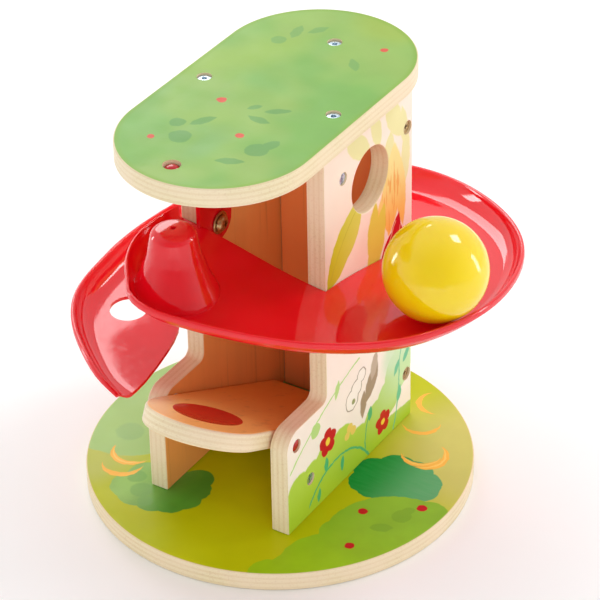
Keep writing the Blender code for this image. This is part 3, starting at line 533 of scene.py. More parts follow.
def meadow(n):
    """Printed side: pale ground, palm leaves above, a meadow with flowers below."""
    y, z, _ = n.parts(n.flat)
    n.art = n.mix(n.spread(z, 60.0, 170.0), ink(255, 243, 228), ink(255, 239, 222))
    n.draw(ink(255, 224, 196), n.cloud([(18, 165, 12), (2, 150, 10)]), 9.0, 0.35)
    n.draw(ink(238, 233, 170), n.shapes(leaves=[(14, 238, -38, 34, 15), (34, 240, -75, 30, 11),
            (54, 238, -62, 38, 15), (66, 226, -80, 30, 9), (48, 214, 80, 34, 13), (68, 206, 88, 40, 10)]),
            0.6)
    glow = n.mix(n.spread(z, 210.0, 160.0), ink(246, 230, 150), ink(252, 196, 96))
    n.draw(glow, n.shapes(leaves=[(52, 190, 84, 62, 22), (40, 176, 66, 62, 15), (62, 186, 96, 56, 12)]),
            0.8)
    hatch = n.spread(n.noise(1.0, 1.0, stretch=(1.0, 520.0, 60.0)), 0.52, 0.62, 0.0, 0.7)
    n.art = n.mix(n.math("MULTIPLY", hatch, n.spread(n.leaf(50, 184, 80, 50, 24), 1.0, -3.0)), n.art,
            ink(240, 158, 60))
    n.draw(ink(230, 214, 84), n.shapes(leaves=[(34, 160, 70, 54, 17), (30, 172, 80, 40, 12)]), 0.8)
    n.draw(n.mix(n.spread(y, -20.0, 16.0), ink(208, 208, 40), ink(222, 222, 96)),
            n.shapes(leaves=[(-3, 181, 50, 58, 22), (5, 186, 60, 44, 19), (-9, 172, 44, 36, 17)]), 0.5)
    n.draw(ink(196, 196, 60), n.stroke(-18, 164, 12, 198, 2.5, 0.9), 0.3, 0.7)
    n.draw(ink(208, 18, 34), n.shapes(leaves=[(56, 156, 74, 30, 11), (46, 148, 66, 26, 11),
            (62, 150, 96, 26, 8)]))
    n.draw(ink(246, 190, 150), n.shapes(strokes=[(44, 140, 57, 166, 1.6, 0.8),
            (60, 140, 62, 160, 1.2, 0.7)]))
    n.draw(ink(190, 224, 134), n.shapes(leaves=[(-12, 84, 70, 13, 5)], discs=[(-37, 69.5, 5.2)],
            strokes=[(-66, 55, 14, 92, 5.0, 1.3)]))
    fresh = n.mix(n.spread(y, 10.0, 70.0), ink(186, 216, 78), ink(204, 234, 172))
    field = n.union([n.below(-0.1, 31.0), n.disc(-56, 36, 13.5), n.disc(-42, 36, 13.5), n.disc(-24, 40, 15),
            n.disc(-8, 38, 16), n.disc(12, 26, 16), n.disc(32, 34, 14), n.disc(48, 42, 14),
            n.disc(60, 56, 16), n.disc(70, 66, 16)])
    low = n.mix(n.spread(z, 12.0, 50.0), ink(176, 208, 50), fresh)
    n.draw(low, field, 0.7)
    n.draw(ink(212, 238, 196), n.cloud([(66, 78, 16), (76, 92, 16), (54, 70, 12), (62, 98, 14)]), 7.0, 0.85)
    teal = n.shapes(leaves=[(-25.3, 37, 86, 11, 4.6), (-7, 26.5, 84, 11, 4.2), (-34, 20, 80, 10, 4.0),
            (26, 43, 80, 11, 5.2)], strokes=[(-42, 22, 22, 16, 15.0, 1.6), (20, 20, 26, 46, 2.0, 1.1)])
    n.draw(ink(84, 184, 118), teal)
    n.draw(ink(112, 198, 150), n.shapes(leaves=[(61, 37, 80, 12, 5.6), (58, 58, 60, 11, 4.6),
            (70, 62, 50, 12, 5)], strokes=[(54, 14, 61, 60, -2.5, 1.3), (61, 60, 73, 84, 2.0, 1.0)]), 0.4)
    n.draw(ink(170, 146, 116), n.shapes(leaves=[(28, 66, 60, 27, 12), (18, 55, 84, 20, 7)]), 0.6)
    n.draw(ink(196, 176, 150), n.leaf(31, 76, 74, 20, 8), 0.6)
    n.draw(ink(150, 132, 104), n.cloud([(5, 66, 7.6), (10, 72, 6.4), (16, 78, 5.2)]), 0.4)
    n.draw(ink(255, 246, 232), n.cloud([(5, 66, 6.9), (10, 72, 5.7), (16, 78, 4.5)]), 0.4)
    n.draw(ink(150, 156, 96), n.disc(6.5, 64, 1.9), 0.4)
    n.draw(ink(240, 208, 100), n.cloud([(2, 47, 3.4), (6, 43, 3.2), (-1, 43, 3.0)]))
    n.flower(-23.3, 52.9, 9.0)
    n.flower(41.4, 27.5, 8.0)


def side_look(name, sign):
    n = Print(name)
    n.canvas(1, 2)
    low = SIDE_MID - PLY / 2 if sign > 0 else -SIDE_MID - PLY / 2
    edge = ply_edge(n, across_axis(n, 0), low)
    right, left = faces(n, 0)
    outside, inside = (right, left) if sign > 0 else (left, right)
    bare, fibres = grain(n, ink(244, 172, 98), 2)
    meadow(n)
    colour = n.mix(outside, edge, n.tinted(n.art, 0.02))
    return lacquer(n, n.mix(inside, colour, bare), fibres)


def back_look():
    n = Print("back_printed_plywood")
    n.canvas(0, 2)
    x, z, _ = n.parts(n.flat)
    n.art = n.mix(n.spread(z, 60.0, 170.0), ink(255, 243, 228), ink(255, 239, 222))
    n.draw(ink(238, 233, 170), n.shapes(leaves=[(-18, 232, 40, 34, 13), (14, 236, -40, 36, 14),
            (0, 214, 86, 30, 11)]), 0.6)
    n.draw(ink(220, 220, 80), n.shapes(leaves=[(-12, 186, 118, 42, 14), (15, 178, 62, 44, 14)]), 0.5)
    field = n.union([n.below(0.0, 34.0), n.disc(-30, 38, 14), n.disc(-10, 42, 15), n.disc(12, 36, 15),
            n.disc(32, 42, 14)])
    n.draw(n.mix(n.spread(z, 14.0, 58.0), ink(168, 208, 60), ink(192, 226, 130)), field, 0.7)
    n.draw(ink(84, 184, 118), n.shapes(leaves=[(-20, 46, 110, 12, 5), (-2, 60, 60, 12, 5),
            (20, 40, 60, 11, 4.6)], strokes=[(-20, 16, -6, 70, 4.0, 1.4), (18, 14, 10, 62, -3.0, 1.2)]))
    n.flower(-6, 74, 9.0)
    n.flower(11, 64, 7.5)
    edge = ply_edge(n, across_axis(n, 1), BACK_Y - PLY / 2)
    outside, inside = faces(n, 1)
    bare, fibres = grain(n, ink(252, 156, 90), 2)
    # painted shadow: the bare inside face turns dark red-brown along the inside corners where it meets the
    # side panels
    corner_shadow = n.spread(n.math("ABSOLUTE", x), (INNER_HALF - 0.0016) * 1000.0, (INNER_HALF - 0.0004) * 1000.0,
            0.0, 0.7)
    bare = n.mix(corner_shadow, bare, ink(120, 30, 18))
    colour = n.mix(outside, edge, n.tinted(n.art, 0.02))
    return lacquer(n, n.mix(inside, colour, bare), fibres)


def lever_look():
    n = Print("lever_lacquered_plywood")
    c, s = math.cos(LEVER_TILT), math.sin(LEVER_TILT)
    from_axle = n.vector("SUBTRACT", n.place, tuple(AXLE))
    along = n.vector("DOT_PRODUCT", from_axle, (0.0, c, -s))
    up = n.vector("DOT_PRODUCT", from_axle, (0.0, s, c))
    across = n.math("MULTIPLY", up, 1000.0)
    edge = ply_edge(n, across, -PLY / 2)
    facing = n.math("ABSOLUTE", n.vector("DOT_PRODUCT", n.coords.outputs["Normal"], (0.0, s, c)))
    bare, fibres = grain(n, ink(250, 190, 108), 1)
    colour = n.mix(n.spread(facing, 0.80, 0.90), edge, bare)
    x = n.parts(n.place)[0]
    spot = n.join(x, n.math("ADD", along, DISH_REACH))
    inside = n.spread(n.vector("LENGTH", spot), DISH_RADIUS - 0.0001, DISH_RADIUS - 0.0004)
    inside = n.math("MULTIPLY", inside, n.spread(up, 0.0, 0.003))
    colour = n.mix(inside, colour, ink(200, 18, 26))
    n.bump(n.math("ADD", n.math("MULTIPLY", fibres, 0.5), n.noise(420.0, 2.0)), 0.10, 0.0003)
    rough = n.mix(inside, (0.34,) * 3 + (1.0,), (0.12,) * 3 + (1.0,))
    return n.set(Base_Color=colour, Roughness=rough, Specular_IOR_Level=0.3)


def plastic_look(name, colour, deep, roughness, scale=30.0, ior=1.5, glow=0.0, depth=(0.01, 0.01, 0.01)):
    """Polished moulding: faint flow marks and the slightest waviness in its gloss."""
    n = Nodes(name)
    tone = n.mix(n.spread(n.noise(scale, 2.0), 0.35, 0.7), colour, deep)
    rough = n.spread(n.noise(220.0, 3.0), 0.4, 0.8, roughness, roughness + 0.06)
    n.bump(n.noise(90.0, 1.0), 0.05, 0.0004)
    n.set(Subsurface_Weight=glow, Subsurface_Radius=depth, Subsurface_Scale=1.0)
    return n.set(Base_Color=tone, Roughness=rough, IOR=ior)


def metal_look(name, bright, dull, roughness):
    """Plated steel with fine scratches and a mottled passivation."""
    n = Nodes(name)
    tone = n.mix(n.spread(n.noise(500.0, 3.0), 0.35, 0.7), bright, dull)
    scratch = n.noise(1.0, 2.0, stretch=(400.0, 2400.0, 400.0))
    rough = n.spread(scratch, 0.3, 0.8, roughness, roughness + 0.2)
    n.bump(scratch, 0.12, 0.0001)
    return n.set(Base_Color=tone, Roughness=rough, Metallic=1.0)


# ---------------------------------------------------------------- shapes
def from_bmesh(name, bm):
    mesh = bpy.data.meshes.new(name)
    bm.normal_update()
    bm.to_mesh(mesh)
    bm.free()
    obj = bpy.data.objects.new(name, mesh)
    bpy.context.scene.collection.objects.link(obj)
    return obj


def turn_matrix(axis):
    """Matrix that takes +Z onto a world axis."""
    return Vector((0, 0, 1)).rotation_difference(Vector(axis)).to_matrix().to_4x4()


def cylinder(name, radius, length, centre, axis=(0, 0, 1), segments=ROUND):
    bm = bmesh.new()
    matrix = Matrix.Translation(centre) @ turn_matrix(axis)
    bmesh.ops.create_cone(bm, cap_ends=True, segments=segments, radius1=radius,
                          radius2=radius, depth=length, matrix=matrix)
    return from_bmesh(name, bm)


def applied(obj):
    """The object with its modifiers made part of its mesh."""
    bpy.context.view_layer.update()
    graph = bpy.context.evaluated_depsgraph_get()
    mesh = bpy.data.meshes.new_from_object(obj.evaluated_get(graph))
    bm = bmesh.new()
    bm.from_mesh(mesh)
    bmesh.ops.remove_doubles(bm, verts=bm.verts, dist=WELD)
    bm.to_mesh(mesh)
    bm.free()
    obj.modifiers.clear()
    obj.data = mesh
    return obj


def turned(name, profile, origin, axis=(0, 0, 1), segments=ROUND, closed=False):
    """Turned piece: a (radius, height) profile, outer side downwards, and a Screw modifier."""
    count = len(profile)
    links = [(i, i + 1) for i in range(count - 1)]
    if closed:
        links.append((count - 1, 0))
    mesh = bpy.data.meshes.new(name)
    mesh.from_pydata([(radius, 0.0, height) for radius, height in profile], links, [])
    obj = bpy.data.objects.new(name, mesh)
    bpy.context.scene.collection.objects.link(obj)
    obj.matrix_world = Matrix.Translation(origin) @ turn_matrix(axis)
    screw = obj.modifiers.new("turned", "SCREW")
    screw.axis = "Z"
    screw.angle = 2 * math.pi
    screw.steps = segments
    screw.render_steps = segments
    screw.use_merge_vertices = True
    screw.merge_threshold = WELD
    return applied(obj)


def plate(name, outline, thickness, mat_frame):
    """Flat panel: a filled 2D curve, extruded, then made a mesh and moved by mat_frame."""
    curve = bpy.data.curves.new(name, "CURVE")
    curve.dimensions = "2D"
    curve.fill_mode = "BOTH"
    curve.extrude = thickness / 2
    spline = curve.splines.new("POLY")
    spline.points.add(len(outline) - 1)
    for point, (x, y) in zip(spline.points, outline):
        point.co = (x, y, 0.0, 1.0)
    spline.use_cyclic_u = True
    source = bpy.data.objects.new(name + "_outline", curve)
    bpy.context.scene.collection.objects.link(source)
    source.matrix_world = mat_frame
    bpy.context.view_layer.update()
    graph = bpy.context.evaluated_depsgraph_get()
    mesh = bpy.data.meshes.new_from_object(source.evaluated_get(graph))
    bm = bmesh.new()
    bm.from_mesh(mesh)
    bmesh.ops.remove_doubles(bm, verts=bm.verts, dist=WELD)
    bmesh.ops.dissolve_limit(bm, angle_limit=0.001, verts=bm.verts, edges=bm.edges)
    bm.to_mesh(mesh)
    bm.free()
    mesh.name = name
    obj = bpy.data.objects.new(name, mesh)
    bpy.context.scene.collection.objects.link(obj)
    obj.matrix_world = source.matrix_world
    bpy.data.objects.remove(source, do_unlink=True)
    return obj


def arc(cx, cy, radius, start, end, steps):
    """Points on an arc, angles in degrees."""
    points = []
    for i in range(steps + 1):
        angle = math.radians(start + (end - start) * i / steps)
        points.append((cx + radius * math.cos(angle), cy + radius * math.sin(angle)))
    return points


def ease_edges(obj, width=EDGE, segments=3, angle=50.0):
    bevel = obj.modifiers.new("eased_edges", "BEVEL")
    bevel.width = width
    bevel.segments = segments
    bevel.limit_method = "ANGLE"
    bevel.angle_limit = math.radians(angle)


def boolean(obj, tool, operation):
    """Cut or join with another piece, which is used up."""
    modifier = obj.modifiers.new(operation.lower(), "BOOLEAN")
    modifier.operation = operation
    modifier.solver = "EXACT"
    modifier.object = tool
    tool.hide_render = True
    obj["tools"] = list(obj.get("tools", [])) + [tool.name]


def cut(obj, tool):
    boolean(obj, tool, "DIFFERENCE")


def drill(obj, name, radius, length, centre, axis, segments=ROUND):
    cut(obj, cylinder(name, radius, length, centre, axis, segments=segments))


def finished(obj, node, look, body, angle=35.0):
    """The piece with its cuts made, smooth, in the row frame, standing for its CAD node."""
    applied(obj)
    for name in obj.get("tools", []):
        bpy.data.objects.remove(bpy.data.objects[name], do_unlink=True)
    if "tools" in obj:
        del obj["tools"]
    obj.data.transform(obj.matrix_world)
    obj.matrix_world = Matrix.Identity(4)
    obj.name = "look_" + node
    obj.data.name = obj.name
    obj.data.materials.clear()
    obj.data.materials.append(look)
    obj.data.shade_smooth()
    obj.data.set_sharp_from_angle(angle=math.radians(angle))
    weighted = obj.modifiers.new("flat_faces_stay_flat", "WEIGHTED_NORMAL")
    weighted.keep_sharp = True
    weighted.weight = 60
    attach(obj, body)
    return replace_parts(obj, node)


# ---------------------------------------------------------------- wooden panels
SIDE_FRAME = Matrix(((0, 0, 1, 0), (1, 0, 0, 0), (0, 1, 0, 0), (0, 0, 0, 1)))


def bolt_places(side_y):
    return (
        ("right", SIDE_MID, side_y),
        ("left", -SIDE_MID, side_y),
        ("back", 0.0, BACK_Y),
    )


def make_base(look):
    base = cylinder("base", BASE_RADIUS, PLY, (0, 0, PLY / 2), segments=180)
    ease_edges(base)
    for label, x, y in bolt_places(BASE_BOLT_Y):
        drill(base, "hole_" + label, HOLE_RADIUS, 3 * PLY, (x, y, PLY / 2), (0, 0, 1))
        drill(base, "sink_" + label, HEAD_RADIUS + GAP, 2 * SINK, (x, y, 0), (0, 0, 1))
    finished(base, "base_disc", look, "tower")


def side_outline():
    """Side panel in (y, z): a tall back part and a low front part with rounded corners."""
    low = PLY + GAP
    points = [(FRONT_LOW, low), (REAR, low), (REAR, TOWER_TOP), (FRONT_HIGH, TOWER_TOP)]
    inner, outer = STEP_INNER_ROUND, STEP_ROUND
    points += arc(FRONT_HIGH - inner, STEP_Z + inner, inner, 0, -90, 12)
    points += arc(FRONT_LOW + outer, STEP_Z - outer, outer, 90, 180, 16)
    return points


def make_side(side, sign, look):
    frame_of_side = Matrix.Translation((sign * SIDE_MID, 0, 0)) @ SIDE_FRAME
    panel = plate(side, side_outline(), PLY, frame_of_side)
    x_out = sign * TOWER_HALF
    along_x = (1, 0, 0)
    if sign > 0:
        drill(panel, "window", WINDOW_RADIUS, 3 * PLY, (x_out, WINDOW_Y, WINDOW_Z), along_x, segments=96)
    ease_edges(panel)
    for y, z_mid in ((ROOF_BOLT_Y, ROOF_BARREL_Z), (BASE_BOLT_Y, BASE_BARREL_Z)):
        drill(panel, "nut_hole", BARREL_RADIUS + GAP, 2 * (BARREL_LENGTH + 0.001), (x_out, y, z_mid),
                along_x)
    for z in PANEL_SCREW_HEIGHTS:
        drill(panel, "screw_sink", HEAD_RADIUS + GAP, 2 * SINK, (x_out, BACK_Y, z), along_x)
    drill(panel, "cap_hole", CAP_RADIUS + GAP, 2 * (CAP_DEPTH + GAP), (x_out, AXLE.y, AXLE.z), along_x)
    if sign < 0:
        at = (x_out, CHUTE_BOLT.y, CHUTE_BOLT.z)
        drill(panel, "tee_barrel_hole", TEE_BARREL + GAP, 3 * PLY, at, along_x)
        drill(panel, "tee_flange_hole", TEE_FLANGE + GAP, 2 * (TEE_FLANGE_THICK + 2 * GAP), at, along_x)
    finished(panel, side + "_side_panel", look, "tower")


def make_back(look):
    half = INNER_HALF - GAP
    low = PLY + GAP
    outline = [(-half, low), (half, low), (half, TOWER_TOP), (-half, TOWER_TOP)]
    frame_of_back = Matrix.Translation((0, BACK_Y, 0)) @ Matrix.Rotation(math.radians(90), 4, "X")
    panel = plate("back", outline, PLY, frame_of_back)
    ease_edges(panel)
    for z_mid in (ROOF_BARREL_Z, BASE_BARREL_Z):
        drill(panel, "nut_hole", BARREL_RADIUS + GAP, 2 * (BARREL_LENGTH + 0.001), (0, REAR, z_mid),
                (0, 1, 0))
    finished(panel, "back_panel", look, "tower")


def make_roof(look):
    straight = ROOF_HALF_LENGTH - ROOF_HALF_WIDTH
    outline = arc(0, ROOF_Y + straight, ROOF_HALF_WIDTH, 0, 180, 72)
    outline += arc(0, ROOF_Y - straight, ROOF_HALF_WIDTH, 180, 360, 72)
    low = TOWER_TOP + GAP
    top = low + PLY
    roof = plate("roof", outline, PLY, Matrix.Translation((0, 0, low + PLY / 2)))
    ease_edges(roof)
    for label, x, y in bolt_places(ROOF_BOLT_Y):
        drill(roof, "hole_" + label, HOLE_RADIUS, 3 * PLY, (x, y, low + PLY / 2), (0, 0, 1))
        drill(roof, "sink_" + label, HEAD_RADIUS + GAP, 2 * SINK, (x, y, top), (0, 0, 1))
    drill(roof, "plug_hole", PLUG_RADIUS + GAP, 3 * PLY, (PLUG.x, PLUG.y, low), (0, 0, 1))
    drill(roof, "plug_sink", PLUG_HEAD_RADIUS + GAP, 2 * PLUG_SINK, (PLUG.x, PLUG.y, top), (0, 0, 1))
    finished(roof, "roof_panel", look, "tower")


# ---------------------------------------------------------------- lever
def lever_point(along, up):
    """World point from the lever's own axes: along the board to the rear, and up from it."""
    c, s = math.cos(LEVER_TILT), math.sin(LEVER_TILT)
    return Vector((0, AXLE.y + along * c + up * s, AXLE.z - along * s + up * c))


def make_lever(look):
    outline = [(LEVER_HALF, LEVER_REAR), (-LEVER_HALF, LEVER_REAR)]
    outline += arc(0, -LOBE_REACH, LEVER_HALF, 180, 360, 64)
    tilt = Matrix.Rotation(-LEVER_TILT, 4, "X")
    board = plate("lever", outline, PLY, Matrix.Translation(AXLE) @ tilt)
    ease_edges(board, width=0.0022, segments=4)
    drill(board, "axle_hole", AXLE_RADIUS + GAP, 0.1, AXLE, (1, 0, 0))
    # the thumb dish is a slice of a big ball sunk into the top of the round front
    ball = (DISH_RADIUS ** 2 + DISH_DEPTH ** 2) / (2 * DISH_DEPTH)
    steps = 12
    widest = math.asin(DISH_RADIUS / ball)
    profile = [(0.0, PLY), (DISH_RADIUS, PLY)]
    for i in range(steps + 1):
        angle = widest * (1 - i / steps)
        profile.append((ball * math.sin(angle), PLY / 2 - DISH_DEPTH + ball * (1 - math.cos(angle))))
    normal = lever_point(0, 1) - lever_point(0, 0)
    cut(board, turned("thumb_dish", profile, lever_point(-DISH_REACH, 0), normal, segments=FINE))
    finished(board, "press_lever", look, "press_lever", angle=25.0)


def make_caps(look):
    cap = [(0, CAP_DEPTH - 0.0002), (0.0016, CAP_DEPTH - 0.00022), (0.0029, CAP_DEPTH - 0.0005),
           (0.0037, CAP_DEPTH - 0.0010), (CAP_RADIUS, CAP_DEPTH - 0.0018), (CAP_RADIUS, 0), (0, 0)]
    for side, sign in SIDES:
        at = Vector((sign * (TOWER_HALF - CAP_DEPTH), AXLE.y, AXLE.z))
        finished(turned("cap", cap, at, (sign, 0, 0)), "axle_cap_" + side, look, "tower", 50.0)


# ---------------------------------------------------------------- chute
def chute_floor(angle):
    turn = angle - 225.0
    return CHUTE_TOP_Z - CHUTE_FALL * turn + CHUTE_EASE * turn * turn


def spline_value(points, x):
    """Smooth curve through the (x, value) points, cubic between neighbours."""
    index = 0
    while index < len(points) - 2 and x > points[index + 1][0]:
        index += 1
    slopes = []
    for k in (index, index + 1):
        left = points[max(k - 1, 0)]
        right = points[min(k + 1, len(points) - 1)]
        slopes.append((right[1] - left[1]) / (right[0] - left[0]))
    (x0, y0), (x1, y1) = points[index], points[index + 1]
    span = x1 - x0
    t = (x - x0) / span
    h00 = 2 * t ** 3 - 3 * t ** 2 + 1
    h10 = t ** 3 - 2 * t ** 2 + t
    h01 = -2 * t ** 3 + 3 * t ** 2
    h11 = t ** 3 - t ** 2
    return h00 * y0 + h10 * span * slopes[0] + h01 * y1 + h11 * span * slopes[1]


def tower_distance(angle):
    """Distance from CHUTE_AXIS to the tower's outline, plus clearance, at an angle."""
    c, s = math.cos(math.radians(angle)), math.sin(math.radians(angle))
    half = TOWER_HALF + CHUTE_CLEAR
    front = CHUTE_AXIS.y - (FRONT_HIGH - CHUTE_CLEAR)
    rear = REAR + CHUTE_CLEAR - CHUTE_AXIS.y
    reach = [half / abs(c)] if abs(c) > 1e-6 else []
    if abs(s) > 1e-6:
        reach.append((rear if s > 0 else front) / abs(s))
    return min(reach)


def smooth_section(points):
    """Points added between the section's own, on a smooth curve, except across its corners."""
    count = len(points)
    made = []
    for i, (p1, p2) in enumerate(zip(points, points[1:])):
        made.append(p1)
        p0 = points[max(i - 1, 0)]
        p3 = points[min(i + 2, count - 1)]
        for t in (1 / 3, 2 / 3):
            made.append(tuple(
                0.5 * (2 * b + (c - a) * t + (2 * a - 5 * b + 4 * c - d) * t * t
                       + (3 * b - a - 3 * c + d) * t ** 3)
                for a, b, c, d in zip(p0, p1, p2, p3)))
    made.append(points[-1])
    return made


def chute_section(width, wall):
    """Closed cross-section as (distance from the tower, height) points."""
    crease = min(0.0175, 0.8 * width)
    k = crease / 0.0175
    skin = CHUTE_SKIN
    w = wall / WALL_HEIGHT
    dish = -FLOOR_DISH * k
    near = 0.12 * (width - crease)
    outside = [
        (near, 0.0),
        (0.5 * (width - crease), 0.5 * dish),
        (width - crease, dish),
        (width - 0.0108 * k, dish + 0.0010 * w),
        (width - 0.0066 * k, dish + 0.0036 * w),
        (width - 0.0037 * k, 0.0066 * w),
        (width - 0.0024 * k, 0.0101 * w),
        (width - 0.0008 * k, 0.0106 * w),
        (width, 0.0096 * w),
        (width + 0.0001 * k, 0.0070 * w),
        (width - 0.0010 * k, 0.0060 * w),
        (width - 0.0028 * k, 0.0052 * w - 0.0002),
        (width - 0.0056 * k, 0.0020 * w - 0.0012),
        (width - 0.0104 * k, dish - skin + 0.0006 * w),
        (width - crease, dish - skin),
        (0.5 * (width - crease), 0.5 * dish - skin),
        (near, -skin),
    ]
    return [(0.0, 0.0)] + smooth_section(outside) + [(0.0, -skin)]


def chute_stations():
    corners = []
    ends = (FRONT_HIGH - CHUTE_CLEAR, REAR + CHUTE_CLEAR)
    half = TOWER_HALF + CHUTE_CLEAR
    for turn in (0, 360):
        for x, y in ((half, ends[0]), (half, ends[1]), (-half, ends[1]), (-half, ends[0])):
            corners.append(math.degrees(math.atan2(y - CHUTE_AXIS.y, x)) % 360 + turn)
    count = int((CHUTE_END - CHUTE_START) / STATION_STEP)
    angles = [CHUTE_START + (CHUTE_END - CHUTE_START) * i / count for i in range(count + 1)]
    for corner in corners:
        if CHUTE_START + 1 < corner < CHUTE_SHEAR_FROM:
            nearest = min(angles, key=lambda a: abs(a - corner))
            angles[angles.index(nearest)] = corner
    return angles


def sheared_angle(angle, across):
    """Near the end the sections lean over, so the chute's end edge runs front to back."""
    if angle <= CHUTE_SHEAR_FROM:
        return angle
    share = (angle - CHUTE_SHEAR_FROM) / (CHUTE_END - CHUTE_SHEAR_FROM)
    span = CHUTE_END - CHUTE_END_INNER
    end = CHUTE_END_INNER + span * (1 - (1 - min(across, 1.0)) ** 2)
    return CHUTE_SHEAR_FROM + share * (end - CHUTE_SHEAR_FROM)


def wall_scale(angle):
    """The wall is full height, and rounds off at both ends."""
    start = min(1.0, 0.75 + (angle - CHUTE_START) / 30.0)
    left = (CHUTE_END - angle) / 12.0
    end = 1.0 if left >= 1 else 0.35 + 0.65 * math.sin(math.pi / 2 * max(left, 0.0))
    return min(start, end)


def make_chute_loft():
    bm = bmesh.new()
    loops = []
    for angle in chute_stations():
        loop = []
        wall = WALL_HEIGHT * wall_scale(angle)
        for k in range(len(chute_section(0.1, wall))):
            # widths differ across a leaning section, so each point finds its own
            guess = angle
            for _ in range(6):
                width = spline_value(RIM, guess) - tower_distance(guess)
                offset, height = chute_section(width, wall)[k]
                guess = sheared_angle(angle, offset / width)
            radius = tower_distance(guess) + offset
            c, s = math.cos(math.radians(guess)), math.sin(math.radians(guess))
            loop.append(bm.verts.new((CHUTE_AXIS.x + radius * c, CHUTE_AXIS.y + radius * s,
                                      chute_floor(guess) + height)))
        loops.append(loop)
    count = len(loops[0])
    for before, after in zip(loops, loops[1:]):
        for k in range(count):
            n = (k + 1) % count
            bm.faces.new((before[k], before[n], after[n], after[k]))
    bm.faces.new(loops[0][::-1])
    bm.faces.new(loops[-1])
    bmesh.ops.recalc_face_normals(bm, faces=bm.faces)
    bmesh.ops.triangulate(bm, faces=bm.faces)
    return from_bmesh("spiral_chute", bm)


def settle_on_floor(obj, top, foot):
    """Lower or lift each point of an upright turned piece, so its foot follows the sloping floor."""
    for vertex in obj.data.vertices:
        x, y, z = obj.matrix_world @ vertex.co
        angle = math.degrees(math.atan2(y - CHUTE_AXIS.y, x - CHUTE_AXIS.x)) % 360
        share = min(1.0, (top - z) / (top - foot))
        vertex.co.z += share * (chute_floor(angle) - foot)
    return obj


def rear_lug_screws():
    return [(x, chute_floor(450.0) - LUG_SCREW_DROP) for x in (-0.018, 0.018)]


def left_lug_screw():
    return Vector((-TOWER_HALF, 0.030, chute_floor(540.0) - LUG_SCREW_DROP))


def block(name, low, high):
    bm = bmesh.new()
    size = Vector(high) - Vector(low)
    centre = (Vector(high) + Vector(low)) / 2
    matrix = Matrix.Translation(centre) @ Matrix.Diagonal((*size, 1.0))
    bmesh.ops.create_cube(bm, size=1.0, matrix=matrix)
    return from_bmesh(name, bm)


def merged(name, pieces):
    """One mesh holding several separate bodies, in world space."""
    bm = bmesh.new()
    for piece in pieces:
        mesh = piece.data.copy()
        mesh.transform(piece.matrix_world)
        bm.from_mesh(mesh)
        bpy.data.objects.remove(piece, do_unlink=True)
    return from_bmesh(name, bm)


def cone_shapes():
    """The hat at the chute's start, and the hollow under it."""
    foot = chute_floor(cone_angle())
    top = foot + CONE_HEIGHT
    origin = (CONE.x, CONE.y, 0)
    flank = [(0.13, CONE_FOOT - 0.0024), (0.22, CONE_FOOT - 0.0043), (0.33, CONE_FOOT - 0.0058),
             (0.46, CONE_FOOT - 0.0077), (0.60, CONE_FOOT - 0.0096)]
    outer = [(0, top), (CONE_CROWN, top)]
    outer += arc(CONE_CROWN, top - 0.0066, 0.0066, 80, 15, 9)
    outer += [(radius, foot + share * CONE_HEIGHT) for share, radius in reversed(flank)]
    outer += [(CONE_FOOT - 0.0009, foot + 0.0020), (CONE_FOOT, foot + 0.0004), (CONE_FOOT, foot - 0.0014),
              (0, foot - 0.0014)]
    roof = top - CONE_SKIN
    inner = [(0, roof), (CONE_CROWN, roof)]
    inner += [(radius - CONE_SKIN, foot + share * CONE_HEIGHT) for share, radius in reversed(flank)]
    inner += [(CONE_FOOT - CONE_SKIN, foot - 0.0060), (0, foot - 0.0060)]
    hat = settle_on_floor(turned("cone_outside", outer, origin, segments=FINE), top, foot)
    hollow = settle_on_floor(turned("cone_inside", inner, origin, segments=FINE), top, foot)
    return hat, hollow


def cone_angle():
    offset = CONE - CHUTE_AXIS
    return math.degrees(math.atan2(offset.y, offset.x)) % 360


def lug_blocks():
    """Lugs that hang from the chute's inner edge at the rear and on the left."""
    near = LUG_OFF_TOWER
    rear_z = chute_floor(450.0)
    rear = block("rear_lug", (-0.028, REAR + near, rear_z - LUG_DROP),
                 (0.028, REAR + near + LUG_THICK, rear_z - 0.0013))
    spot = left_lug_screw()
    left = block("left_lug", (-TOWER_HALF - near - LUG_THICK, spot.y - 0.010, spot.z - 0.0085),
                 (-TOWER_HALF - near, spot.y + 0.010, chute_floor(540.0) - 0.0013))
    return [rear, left]


def tab_plate(face_x, floor):
    """Upright tab with round corners against the inside of the left side panel."""
    front = FRONT_HIGH - CHUTE_CLEAR - 0.0018
    r, low_r = TAB_ROUND, TAB_LOW_ROUND
    low = CHUTE_BOLT.z - low_r
    outline = [(front, TAB_TOP), (front, floor - 0.0022)]
    outline += arc(TAB_REAR - low_r, low + low_r, low_r, -90, 0, 6)
    outline += arc(TAB_REAR - r, TAB_TOP - r, r, 0, 90, 6)
    frame = Matrix.Translation((face_x + TAB_THICK / 2, 0, 0)) @ SIDE_FRAME
    return plate("fixing_tab", outline, TAB_THICK, frame)


